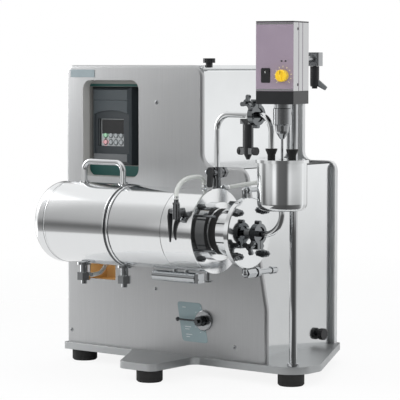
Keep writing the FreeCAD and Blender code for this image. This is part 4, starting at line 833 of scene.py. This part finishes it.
def upright_plate(name: str, datum: Datum, edges: Edges, front: float, corner: float, thickness: float,
                  finish: Finish, eased: float = 0.0) -> None:
    """Rounded plate of the base on a plane that faces the front.

    Args:
        name: Name of the piece.
        datum: Drawing zero.
        edges: Left, right, lower and upper edge in drawing millimetres.
        front: Place of the plane along Y, in drawing millimetres.
        corner: Radius of the corners.
        thickness: Height above the plane.
        finish: Material.
        eased: Width of the eased edge, or nought.
    """
    left, right, low, high = edges
    plate(name, rounded_box(right - left, high - low, corner),
          datum.at((left + right) / 2, front, (low + high) / 2), RIGHT, UP, thickness, finish, "base", eased)


@dataclass
class Drive:
    """Housing, bezel, flat strips, display and key rings of the drive in the window."""

    datum: Datum
    display: Edges = (-464.5, -402.0, 454.5, 485.0)
    # Black strip beside the keypad: painted shadow of the sunk wall at the keypad's left.
    shadow_strip: Edges = (-471.0, -466.0, 418.0, 488.5)
    chin: Edges = (-481.5, -387.5, 395.5, 411.5)
    teal_sill: Edges = (-489.5, -336.0, 365.5, 387.5)
    teal_head: Edges = (-489.5, -336.0, 556.5, 562.0)
    body_front: float = 24.0
    keypad_front: float = 32.0
    face_front: float = 27.0
    bezel_front: float = 21.0
    facing: float = 0.7
    face_slack: float = 0.0005
    chamfer_lean: float = 0.3
    ring_gap: float = 0.2
    ring_width: float = 1.5
    patch_width: float = 3.4

    def build(self, dressing: Dressing) -> None:
        """Build all pieces.

        Args:
            dressing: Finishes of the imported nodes.
        """
        housing = dressing.dress("drive_housing", CHARCOAL_PLASTIC, Treatment.EASED, eased_mm=1.0)
        face = self.datum.at(0, self.face_front, 0)[1]
        dressing.paint(housing, DARK_PLASTIC, lambda centre, normal: normal.y < -self.facing
                       and centre.y > face - self.face_slack)
        dressing.paint(housing, GREY_PLASTIC, lambda centre, normal: normal.z < -self.chamfer_lean
                       and normal.y < -self.chamfer_lean)
        dressing.dress("drive_bezel", COLLAR_PAINT, Treatment.EASED)
        for name, edges, front, corner, thickness, finish, eased in (
                ("teal_sill", self.teal_sill, self.bezel_front, 1.0, 0.4, TEAL_PAINT, 0.0),
                ("teal_head", self.teal_head, self.bezel_front, 1.0, 0.4, TEAL_PAINT, 0.0),
                ("drive_chin", self.chin, self.body_front, 1.5, 0.3, GREY_PLASTIC, 0.1),
                # The black strip is painted shadow, not a part of the drive.
                ("keypad_recess_painted_shadow", self.shadow_strip, self.keypad_front, 0.8, 0.3, BLACK_PLASTIC, 0.1),
                ("display_window", self.display, self.keypad_front, 1.2, 0.4, DISPLAY, 0.1)):
            upright_plate(name, self.datum, edges, front, corner, thickness, finish, eased)
        for column in range(1, 5):
            for row in range(1, 3):
                self.key_ring(column, row)

    def key_ring(self, column: int, row: int) -> None:
        """Thin dark ring round a key, on a tinted patch for the two coloured keys."""
        low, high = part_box(f"key_{column}_{row}")
        front = self.datum.at(0, self.keypad_front, 0)[1]
        middle = np.array([(low.x + high.x) / 2, front, (low.z + high.z) / 2])
        inner = (high.x - low.x) / 2 / MM + self.ring_gap
        outer = inner + self.ring_width
        turned(f"key_ring_{column}_{row}", [(inner, -0.1), (outer, -0.1), (outer, 0.12), (inner, 0.12)],
               middle, -BACK, DARK_PLASTIC, "base", 32)
        if column == 1:
            rim = outer + self.patch_width
            turned(f"key_patch_{row}", [(outer, -0.1), (rim, -0.1), (rim, 0.08), (outer, 0.08)],
                   middle, -BACK, (KEY_RED, KEY_GREEN)[row - 1], "base", 4)


@dataclass
class Barrel:
    """Joint lines, small parts and two dark bands of painted shade on the barrel."""

    datum: Datum
    axis_y: float = -120.0
    axis_z: float = 276.0
    cover_radius: float = 84.0
    seam_x: float = -421.0
    open_rim_x: float = -258.6
    gap_shade_x: float = -254.0
    gap_rim_x: float = -248.6
    chamber_left: float = -20.0
    neck_radius: float = 44.5
    end_face: float = 48.6
    bolt_circle: float = 60.0
    gap_depth: float = 0.6

    def build(self) -> None:
        """Build all pieces."""
        cover = self.cover_radius
        gap = cover - self.gap_depth
        # Place along X, radius of the face under the band, its width and its height above that face.
        for name, x, radius, width, proud, finish in (
                ("cover_joint_line", self.seam_x, cover, 0.9, 0.12, DARK_PLASTIC),
                ("cover_bead", self.seam_x + 3.0, cover, 2.4, 0.5, BARREL_SKIN),
                ("cover_open_rim", self.open_rim_x, cover, 3.2, 0.5, BARREL_SKIN),
                # Dark band between the two rims: painted shade of the groove there.
                ("cover_gap_painted_shade", self.gap_shade_x, gap, 6.2, 0.3, BLACKED_STEEL),
                ("cover_gap_rim", self.gap_rim_x, gap, 4.4, 0.7, BARREL_SKIN),
                ("chamber_root_ring", self.chamber_left + 0.9, self.neck_radius, 1.8, 1.6, BARREL_SKIN),
                # Black band on the chamber's narrow neck: painted shade, which the end flange mirrors as a
                # dark band too.
                ("chamber_neck_painted_shade", self.chamber_left + 10.6, self.neck_radius, 17.0, 0.9, RUBBER)):
            self.ring(name, x, radius, width, proud, finish)
        for number, (y, z) in enumerate(((-1, -1), (-1, 1), (1, -1), (1, 1))):
            self.cap_nut(number + 1, y, z)

    def cap_nut(self, number: int, side: int, rise: int) -> None:
        """Tall domed cap over a stud end: a collar, a straight barrel and a round top."""
        off = self.bolt_circle * math.sqrt(0.5)
        dome = [(6.3 * math.cos(a), 9.0 + 5.0 * math.sin(a)) for a in np.linspace(0, math.pi / 2, 7)[:-1]]
        profile = [(0, 0.0), (8.2, 0.0), (8.2, 1.8), (6.9, 2.2), (6.9, 8.0), (6.3, 8.6)] + dome + [(0, 14.0)]
        turned(f"end_cap_nut_{number}", profile,
               self.datum.at(self.end_face, self.axis_y + side * off, self.axis_z + rise * off), RIGHT,
               CAST_STEEL, "base", 36)

    def ring(self, name: str, x: float, radius: float, width: float, proud: float, finish: Finish) -> None:
        """Low band round the barrel with a rounded section."""
        half = width / 2
        profile = [(radius - 0.4, -half), (radius + proud * 0.6, -half), (radius + proud, -half * 0.4),
                   (radius + proud, half * 0.4), (radius + proud * 0.6, half), (radius - 0.4, half)]
        turned(name, profile, self.datum.at(x, self.axis_y, self.axis_z), RIGHT, finish, "base", 192)


@dataclass
class Stirrer:
    """Front, side screws, scale and lamps of the overhead stirrer."""

    datum: Datum
    axis_x: float = 126.0
    axis_y: float = -120.0
    turn: float = 13.5
    half: float = 38.5
    bottom: float = 553.0
    top: float = 682.5
    # Width, height, corner radius and steps of each corner of the plates on the front.
    grip: Edges = (4.4, 21.0, 2.0, 4)
    pointer: Edges = (1.1, 7.0, 0.5, 3)
    surround: Edges = (18.8, 27.8, 2.0, 4)
    switch_mark: Edges = (1.1, 5.0, 0.4, 3)
    knob: tuple[float, float] = (17.2, 582.0)
    switch: tuple[float, float] = (-18.3, 582.5)
    tick_radius: float = 15.5
    tick_half: float = 0.55
    long_tick: float = 3.4
    short_tick: float = 2.6
    screw_forward: float = 17.0
    screw_inset: float = 12.0
    screw_radius: float = 3.0
    lamps: tuple[tuple[float, float], ...] = ((14.2, 609.6), (22.3, 609.6))

    def __post_init__(self) -> None:
        """Work out the turned directions."""
        angle = math.radians(self.turn)
        self.right = np.array([math.cos(angle), math.sin(angle), 0.0])
        self.front = np.array([math.sin(angle), -math.cos(angle), 0.0])

    def at(self, across: float, forward: float, z: float) -> np.ndarray:
        """Point in the stirrer's own turned directions."""
        middle = self.datum.at(self.axis_x, self.axis_y, z)
        return middle + (self.right * across + self.front * forward) * MM

    def build(self, dressing: Dressing) -> None:
        """Build all pieces.

        Args:
            dressing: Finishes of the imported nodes.
        """
        front = Vector(self.front)
        housing = dressing.dress("stirrer_housing", EXTRUDED_ALUMINIUM, Treatment.EASED, eased_mm=0.8)
        dressing.paint(housing, MAUVE_FOIL, lambda centre, normal: normal.dot(front) > 0.7)
        for number, degrees in enumerate(range(-135, 136, 27)):
            self.speed_tick(number, math.radians(90 - degrees))
        across, height = self.knob
        self.face_plate("speed_grip", self.grip, (across, 13.0, height), 2.2, YELLOW_KNOB,
                        "speed_knob", 0.6)
        self.face_plate("speed_pointer", self.pointer, (across, 15.2, height + 6.0), 0.25,
                        BLACK_PLASTIC, "speed_knob")
        across, height = self.switch
        self.face_plate("switch_surround", self.surround, (across, 0.0, height), 0.9,
                        BLACK_PLASTIC, "stirrer_head", 0.3)
        for name, z in (("foil_edge", self.bottom + 2.2), ("foil_edge_top", self.top - 2.2)):
            self.face_plate(name, (2 * self.half - 1.0, 3.0, 0.5, 3), (0, 0.0, z), 0.12,
                            EXTRUDED_ALUMINIUM, "stirrer_head")
        self.face_plate("switch_mark_on", self.switch_mark, (across, 3.1, height + 7.0), 0.12,
                        WHITE_PRINT, "stirrer_rocker")
        for number, (across, z) in enumerate(self.lamps):
            turned(f"stirrer_lamp_{number + 1}", [(0, 0), (1.8, 0), (1.6, 0.6), (0, 1.0)],
                   self.at(across, self.half, z), self.front, (DARK_PLASTIC, BLACK_PLASTIC)[number],
                   "stirrer_head", 20)
        for number, z in enumerate((self.bottom + self.screw_inset, self.top - self.screw_inset)):
            for name, side in (("side", 1), ("far", -1)):
                place = self.at(side * self.half, self.screw_forward, z)
                screw_head(f"stirrer_{name}_screw_{number + 1}", place, side * self.right,
                           self.screw_radius, "stirrer_head", BLACKED_STEEL)

    def speed_tick(self, number: int, angle: float) -> None:
        """Tick of the speed scale, longer at both ends and in the middle.

        Args:
            number: Place on the scale, from nought.
            angle: Direction from the knob's axis, in radians.
        """
        reach = np.array([math.cos(angle), math.sin(angle)])
        side = np.array([-reach[1], reach[0]]) * self.tick_half
        size = self.long_tick if number % 5 == 0 else self.short_tick
        middle = reach * (self.tick_radius + size / 2)
        end = reach * size / 2
        corners = np.array([middle + end - side, middle + end + side, middle - end + side,
                            middle - end - side])
        plate(f"speed_tick_{number + 1}", corners, self.at(self.knob[0], self.half, self.knob[1]),
              self.right, UP, 0.1, CREAM_PRINT, "stirrer_head")

    def face_plate(self, name: str, box: Edges, place: Point, thickness: float, finish: Finish, body: str,
                   eased: float = 0.0) -> None:
        """Rounded plate on the stirrer's front.

        Args:
            name: Name of the piece.
            box: Width, height, corner radius and steps of each corner.
            place: Across, in front of the foil and height of its middle.
            thickness: Height above its plane.
            finish: Material.
            body: Body that carries the piece.
            eased: Width of the eased edge, or nought.
        """
        across, proud, z = place
        plate(name, rounded_box(*box), self.at(across, self.half + proud, z), self.right, UP, thickness,
              finish, body, eased)


@dataclass
class Hoses:
    """The three free hoses and the bands that hold their ends."""

    datum: Datum
    radius: float = 4.3
    band_bite: float = 0.1
    band_thickness: float = 0.55
    band_span: tuple[float, float] = (2.0, 6.0)

    def build(self) -> None:
        """Build all hoses on the routes that the solids follow."""
        vent = [(-63, -209, 342), (-63, -209, 353), (-63, -203, 366), (-63, -190, 376.5), (-63, -172, 382),
                (-63, -152, 383), (-63, -134.2, 382.7), (-63, -125.8, 377.9), (-63, -121, 369.6),
                (-63, -121, 360)]
        flush = [(-40, -80, 360), (-40, -56, 360), (-26, -32, 365), (0, -19, 369), (27, -26, 367),
                 (43, -49, 360), (43, -76, 360)]
        feed = [(-383, -101.5, 164), (-383, -74, 164), (-398, -44, 168), (-418, -12, 175), (-437, 24, 180),
                (-437, 58.5, 180)]
        self.hose("vent_line", "vent_hose", vent, 0.1263)
        self.hose("flush_line", "flush_hose", flush, 0.1610)
        self.hose("feed_line", "feed_hose", feed, 0.1740)

    def hose(self, name: str, node: str, route: Sequence[Point], length: float) -> None:
        """One hose as a smooth spline through the route's control points.

        Args:
            name: Name of the piece.
            node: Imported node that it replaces.
            route: Control points in drawing millimetres.
            length: Real length in metres.
        """
        curve = bpy.data.curves.new(name, "CURVE")
        curve.dimensions = "3D"
        curve.bevel_depth = self.radius * MM
        curve.bevel_resolution = 8
        curve.resolution_u = 16
        curve.render_resolution_u = 16
        curve.use_fill_caps = True
        spline = curve.splines.new("NURBS")
        spline.points.add(len(route) - 1)
        points = np.array([[*self.datum.at(*p), 1.0] for p in route])
        spline.points.foreach_set("co", points.ravel())
        spline.order_u = 3
        spline.use_endpoint_u = True
        curve.materials.append(material_of(HOSE))
        piece = bpy.data.objects.new(name, curve)
        bpy.context.scene.collection.objects.link(piece)
        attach(piece, "base")
        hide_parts(node)
        tuple(self.datum.at(*route[0]))
        for end, (start, ahead) in enumerate(((route[0], route[1]), (route[-1], route[-2]))):
            self.band(f"{name}_band_{end + 1}", np.array(start, float), np.array(ahead, float))
        LOG.info("%s: hose of %.0f mm on base", name, length * 1000)

    def band(self, name: str, start: np.ndarray, ahead: np.ndarray) -> None:
        """Thin band round the end of a hose, a little way from the fitting."""
        way = (ahead - start) / np.linalg.norm(ahead - start)
        inner = self.radius - self.band_bite
        outer = self.radius + self.band_thickness
        near, far = self.band_span
        profile = [(inner, near), (outer, near), (outer, far), (inner, far)]
        turned(name, profile, self.datum.at(*start), way, BRIGHT_STEEL, "base", 32)


@dataclass(frozen=True)
class Studio:
    """Floor, lamps, surroundings and camera."""

    camera_at: Point = (2310.3, -3130.7, 602.0)
    view_x: float = -0.621
    view_y: float = 0.784
    pitch_down: float = 3.97
    lens: float = 175.0
    sensor: float = 36.0
    floor_rings: tuple[float, ...] = (0.0, 0.5, 1.0, 1.6, 2.4, 3.4, 4.6, 6.0)
    fade_span: tuple[float, float] = (0.9, 2.6)
    floor_white: float = 0.88
    floor_steps: int = 96
    paper: Colour = (0.93, 0.93, 0.93, 1.0)
    white: Colour = (1.0, 1.0, 1.0, 1.0)
    daylight: Colour = (0.97, 0.985, 1.0, 1.0)
    daylight_strength: float = 0.55
    # Name, place, target, width in metres and power in watts of each softbox.
    lamps: tuple[tuple[str, Point, Point, float, float], ...] = (
        ("key_softbox", (-1.6, -2.6, 2.6), (0.0, -0.1, 0.3), 1.8, 38.0),
        ("fill_softbox", (3.0, -1.0, 1.8), (0.0, -0.1, 0.3), 1.6, 22.0),
        ("top_softbox", (0.2, 0.2, 3.2), (0.0, 0.0, 0.0), 2.2, 26.0),
        ("front_softbox", (1.7, -2.9, 1.3), (-0.2, -0.1, 0.4), 1.4, 20.0))
    curtain_radius: float = 1.15
    curtain_grid: tuple[int, int] = (40, 121)
    curtain_heights: tuple[float, ...] = (0.03, 0.15, 0.24, 0.30, 0.41, 0.46, 0.70, 0.90, 1.10, 1.32, 1.60,
                                          2.0)
    # The curtain's upright strips, placed as a photographer places black flags, white boards and
    # softboxes round polished steel: first and last angle from the camera in degrees, then the
    # brightness at each of the heights above. Between two strips it runs over evenly.
    curtain_strips: tuple[tuple[float, float, tuple[float, ...]], ...] = (
        (-180.0, -152.0, (0.14, 0.14, 0.14, 0.14, 0.14, 0.14, 0.20, 1.0, 1.0, 1.0, 1.0, 1.0)),
        (-142.0, -142.0, (0.30, 0.30, 0.30, 0.30, 0.30, 0.30, 0.60, 1.0, 1.0, 1.0, 1.0, 1.0)),
        (-130.0, -130.0, (0.70, 0.70, 0.70, 0.70, 0.70, 0.80, 2.0, 2.0, 1.0, 1.0, 1.0, 1.0)),
        (-124.0, -105.0, (3.0, 3.0, 2.2, 1.0, 1.0, 1.6, 7.5, 7.5, 3.0, 1.0, 1.0, 1.0)),
        (-99.0, -99.0, (1.1, 1.1, 1.0, 0.90, 1.0, 1.0, 1.1, 1.1, 0.95, 0.95, 1.0, 1.0)),
        (-91.0, -91.0, (0.60, 0.55, 0.55, 0.55, 0.74, 0.80, 0.80, 0.75, 0.74, 0.78, 0.86, 0.95)),
        (-86.0, -86.0, (0.42, 0.26, 0.16, 0.17, 0.39, 0.45, 0.54, 0.58, 0.62, 0.70, 0.80, 0.90)),
        (-68.0, -68.0, (0.38, 0.24, 0.14, 0.15, 0.39, 0.45, 0.52, 0.56, 0.60, 0.68, 0.78, 0.88)),
        (-62.0, -62.0, (0.14, 0.14, 0.15, 0.60, 0.74, 1.0, 1.1, 1.1, 1.0, 1.0, 1.0, 1.0)),
        (-48.0, -48.0, (0.40, 0.40, 0.40, 0.62, 0.78, 1.0, 1.1, 1.1, 1.0, 1.0, 1.0, 1.0)),
        (-41.0, -41.0, (0.20, 0.20, 0.22, 0.62, 0.76, 0.22, 0.26, 0.36, 0.46, 0.60, 0.75, 0.85)),
        (-32.0, -32.0, (0.12, 0.12, 0.15, 0.60, 0.72, 0.18, 0.22, 0.30, 0.40, 0.50, 0.70, 0.80)),
        (-27.0, -27.0, (0.12, 0.12, 0.16, 1.10, 1.20, 0.18, 0.20, 0.28, 0.38, 0.46, 0.60, 0.70)),
        (-18.0, -18.0, (0.12, 0.12, 0.16, 1.10, 1.20, 0.16, 0.20, 0.26, 0.34, 0.42, 0.56, 0.66)),
        (-13.0, -13.0, (0.12, 0.12, 0.14, 0.30, 0.34, 0.16, 0.20, 0.26, 0.32, 0.40, 0.50, 0.60)),
        (-6.0, -6.0, (0.10, 0.10, 0.11, 0.14, 0.15, 0.14, 0.18, 0.24, 0.30, 0.38, 0.50, 0.60)),
        (18.0, 18.0, (0.08, 0.08, 0.09, 0.11, 0.12, 0.12, 0.14, 0.18, 0.22, 0.30, 0.40, 0.50)),
        (22.0, 22.0, (0.09, 0.09, 0.10, 0.30, 0.34, 0.13, 0.16, 0.20, 0.26, 0.34, 0.44, 0.54)),
        (26.0, 26.0, (0.10, 0.10, 0.12, 0.80, 0.95, 0.14, 0.17, 0.22, 0.28, 0.38, 0.48, 0.58)),
        (31.0, 31.0, (0.11, 0.11, 0.14, 0.80, 0.95, 0.15, 0.18, 0.24, 0.32, 0.42, 0.54, 0.64)),
        (37.0, 37.0, (0.12, 0.12, 0.15, 0.66, 0.80, 0.17, 0.20, 0.28, 0.38, 0.50, 0.62, 0.74)),
        (50.0, 50.0, (0.14, 0.14, 0.18, 0.62, 0.76, 0.26, 0.30, 0.40, 0.50, 0.62, 0.74, 0.84)),
        (66.0, 66.0, (0.20, 0.20, 0.24, 0.66, 0.78, 0.62, 0.66, 0.70, 0.74, 0.80, 0.88, 0.95)),
        (80.0, 80.0, (0.50, 0.55, 0.65, 0.80, 0.88, 0.90, 0.90, 0.92, 0.94, 0.96, 1.0, 1.0)),
        (85.0, 91.0, (1.0, 1.05, 1.05, 1.05, 1.05, 1.05, 1.05, 1.05, 1.05, 1.05, 1.05, 1.05)),
        (96.0, 135.0, (0.68, 0.68, 0.80, 0.90, 1.0, 1.05, 0.95, 1.0, 1.05, 1.05, 1.05, 1.05)),
        (147.0, 180.0, (0.14, 0.14, 0.14, 0.14, 0.14, 0.14, 0.20, 1.0, 1.0, 1.0, 1.0, 1.0)))
    skirt_radius: float = 0.42
    skirt_height: float = 0.002
    skirt_dark: tuple[float, float] = (-26.0, 140.0)
    skirt_white: float = 0.9

    def build(self, datum: Datum) -> None:
        """Set up everything around the machine.

        Args:
            datum: Drawing zero.
        """
        self.world()
        self.floor()
        for softbox in self.lamps:
            self.lamp(*softbox)
        self.curtain()
        self.camera(datum)

    @staticmethod
    def sheet(name: str, points: np.ndarray) -> bpy.types.Object:
        """Open sheet of the studio from a grid of points.

        Args:
            name: Name of the sheet.
            points: Array of rows by columns by three, in metres.

        Returns:
            The sheet, still without a material.
        """
        rows, columns = points.shape[:2]
        numbers = np.arange(rows * columns).reshape(rows, columns)
        quads = np.stack([numbers[:-1, :-1], numbers[1:, :-1], numbers[1:, 1:], numbers[:-1, 1:]], axis=-1)
        mesh = bpy.data.meshes.new(name)
        mesh.from_pydata(points.reshape(-1, 3).tolist(), [], quads.reshape(-1, 4).tolist())
        mesh.update()
        piece = bpy.data.objects.new(name, mesh)
        bpy.context.scene.collection.objects.link(piece)
        return piece

    def world(self) -> None:
        """White to the eye and in reflections, a little lower as light."""
        world = bpy.data.worlds.new("studio")
        bpy.context.scene.world = world
        world.use_nodes = True
        tree = world.node_tree
        tree.nodes.clear()
        path = add(tree, "ShaderNodeLightPath")
        seen = add(tree, "ShaderNodeMath", {
            0: path.outputs["Is Camera Ray"], 1: path.outputs["Is Glossy Ray"]}, operation="MAXIMUM")
        seen = add(tree, "ShaderNodeMath", {0: seen.outputs[0], 1: path.outputs["Is Transmission Ray"]},
                   operation="MAXIMUM")
        white = add(tree, "ShaderNodeBackground", {"Color": self.white, "Strength": 1.0})
        light = add(tree, "ShaderNodeBackground", {
            "Color": self.daylight, "Strength": self.daylight_strength})
        mix = add(tree, "ShaderNodeMixShader", {0: seen.outputs[0], 1: light.outputs[0], 2: white.outputs[0]})
        add(tree, "ShaderNodeOutputWorld", {"Surface": mix.outputs[0]})

    def floor(self) -> None:
        """Round white floor that fades out into the white surroundings."""
        rings = np.array(self.floor_rings)
        turn = np.linspace(0, 2 * np.pi, self.floor_steps)
        points = np.stack([np.outer(rings, np.cos(turn)), np.outer(rings, np.sin(turn)),
                           np.zeros((len(rings), len(turn)))], axis=-1)
        ground = self.sheet("studio_floor", points)
        material, tree = new_material("floor_paper")
        place = add(tree, "ShaderNodeTexCoord")
        reach = add(tree, "ShaderNodeVectorMath", {0: place.outputs["Object"]}, operation="LENGTH")
        fade = add(tree, "ShaderNodeMapRange", {
            "Value": reach.outputs["Value"], "From Min": self.fade_span[0], "From Max": self.fade_span[1]})
        paper = add(tree, "ShaderNodeBsdfDiffuse", {"Color": self.paper})
        white = add(tree, "ShaderNodeEmission", {"Color": self.white, "Strength": 1.0})
        path = add(tree, "ShaderNodeLightPath")
        share = add(tree, "ShaderNodeMath", {0: path.outputs["Is Camera Ray"], 1: self.floor_white},
                    operation="MULTIPLY")
        seen = add(tree, "ShaderNodeMixShader", {0: share.outputs[0], 1: paper.outputs[0],
                                                2: white.outputs[0]})
        clear = add(tree, "ShaderNodeBsdfTransparent")
        mix = add(tree, "ShaderNodeMixShader", {0: fade.outputs[0], 1: seen.outputs[0], 2: clear.outputs[0]})
        add(tree, "ShaderNodeOutputMaterial", {"Surface": mix.outputs[0]})
        ground.data.materials.append(material)

    def lamp(self, name: str, place: Point, target: Point, size: float, power: float) -> None:
        """Square softbox aimed at a point."""
        data = bpy.data.lights.new(name, "AREA")
        data.size = size
        data.energy = power
        lamp = bpy.data.objects.new(name, data)
        bpy.context.scene.collection.objects.link(lamp)
        lamp.visible_glossy = False
        lamp.location = place
        lamp.rotation_euler = (Vector(target) - Vector(place)).to_track_quat("-Z", "Y").to_euler()

    def curtain(self) -> None:
        """Round studio curtain that only polished surfaces mirror.

        A point is (R cos a, R sin a, z), and its grey comes from the strips by its angle from the camera
        and its height, straight between the places that are given. The lowest rows lie on the floor as a
        skirt. The grey is kept as a colour of the points.
        """
        rows, columns = self.curtain_grid
        offsets = np.linspace(-180.0, 180.0, columns)
        heights = np.linspace(self.curtain_heights[0], self.curtain_heights[-1], rows)
        turn = np.radians(offsets) + math.atan2(-self.view_y, -self.view_x)
        stops = [(angle, tones) for start, end, tones in self.curtain_strips
                 for angle in dict.fromkeys((start, end))]
        places = [angle for angle, _ in stops]
        table = np.array([tones for _, tones in stops])
        along = np.stack([np.interp(offsets, places, column) for column in table.T], axis=1)
        greys = np.stack([np.interp(heights, self.curtain_heights, row) for row in along], axis=1)
        low, high = self.skirt_dark
        lying = np.where((offsets > low) & (offsets < high), greys[0], self.skirt_white)
        greys = np.vstack([lying, lying, greys])
        radii = np.concatenate([[self.skirt_radius], np.full(len(heights) + 1, self.curtain_radius)])
        levels = np.concatenate([[self.skirt_height] * 2, heights])
        points = np.stack([np.outer(radii, np.cos(turn)), np.outer(radii, np.sin(turn)),
                           np.outer(levels, np.ones(len(turn)))], axis=-1)
        cloth = self.sheet("studio_curtain", points)
        shade = cloth.data.color_attributes.new(name="grey", type="FLOAT_COLOR", domain="POINT")
        colours = np.repeat(greys.reshape(-1, 1), 4, axis=1)
        colours[:, 3] = 1.0
        shade.data.foreach_set("color", colours.ravel())
        material, tree = new_material("curtain_cloth")
        grey = add(tree, "ShaderNodeAttribute", attribute_name="grey")
        glow = add(tree, "ShaderNodeEmission", {"Color": grey.outputs["Color"], "Strength": 1.0})
        add(tree, "ShaderNodeOutputMaterial", {"Surface": glow.outputs[0]})
        cloth.data.materials.append(material)
        cloth.visible_camera = False
        cloth.visible_shadow = False
        cloth.visible_diffuse = False
        cloth.visible_transmission = False

    def camera(self, datum: Datum) -> None:
        """Long lens at the photograph's place and direction."""
        data = bpy.data.cameras.new("camera")
        data.lens = self.lens
        data.sensor_width = self.sensor
        data.clip_end = 50.0
        eye = bpy.data.objects.new("camera", data)
        bpy.context.scene.collection.objects.link(eye)
        eye.location = Vector(datum.at(*self.camera_at))
        pitch = math.radians(self.pitch_down)
        way = Vector((self.view_x * math.cos(pitch), self.view_y * math.cos(pitch), -math.sin(pitch)))
        eye.rotation_euler = way.to_track_quat("-Z", "Y").to_matrix().to_euler()
        bpy.context.scene.camera = eye


def main() -> None:
    """Load the frame and build the classes in order."""
    logging.basicConfig(level=logging.INFO, format="%(name)s: %(message)s")
    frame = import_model()
    bpy.context.scene.view_settings.view_transform = "Standard"
    datum = Datum.from_frame()
    Studio().build(datum)
    Hoses(datum).build()
    dressing = Dressing(frame)
    dressing.dress_all()
    Valves().build(datum, dressing)
    Panel(datum).build(dressing)
    Drive(datum).build(dressing)
    Barrel(datum).build()
    Stirrer(datum).build(dressing)


if __name__ == "__main__":
    main()
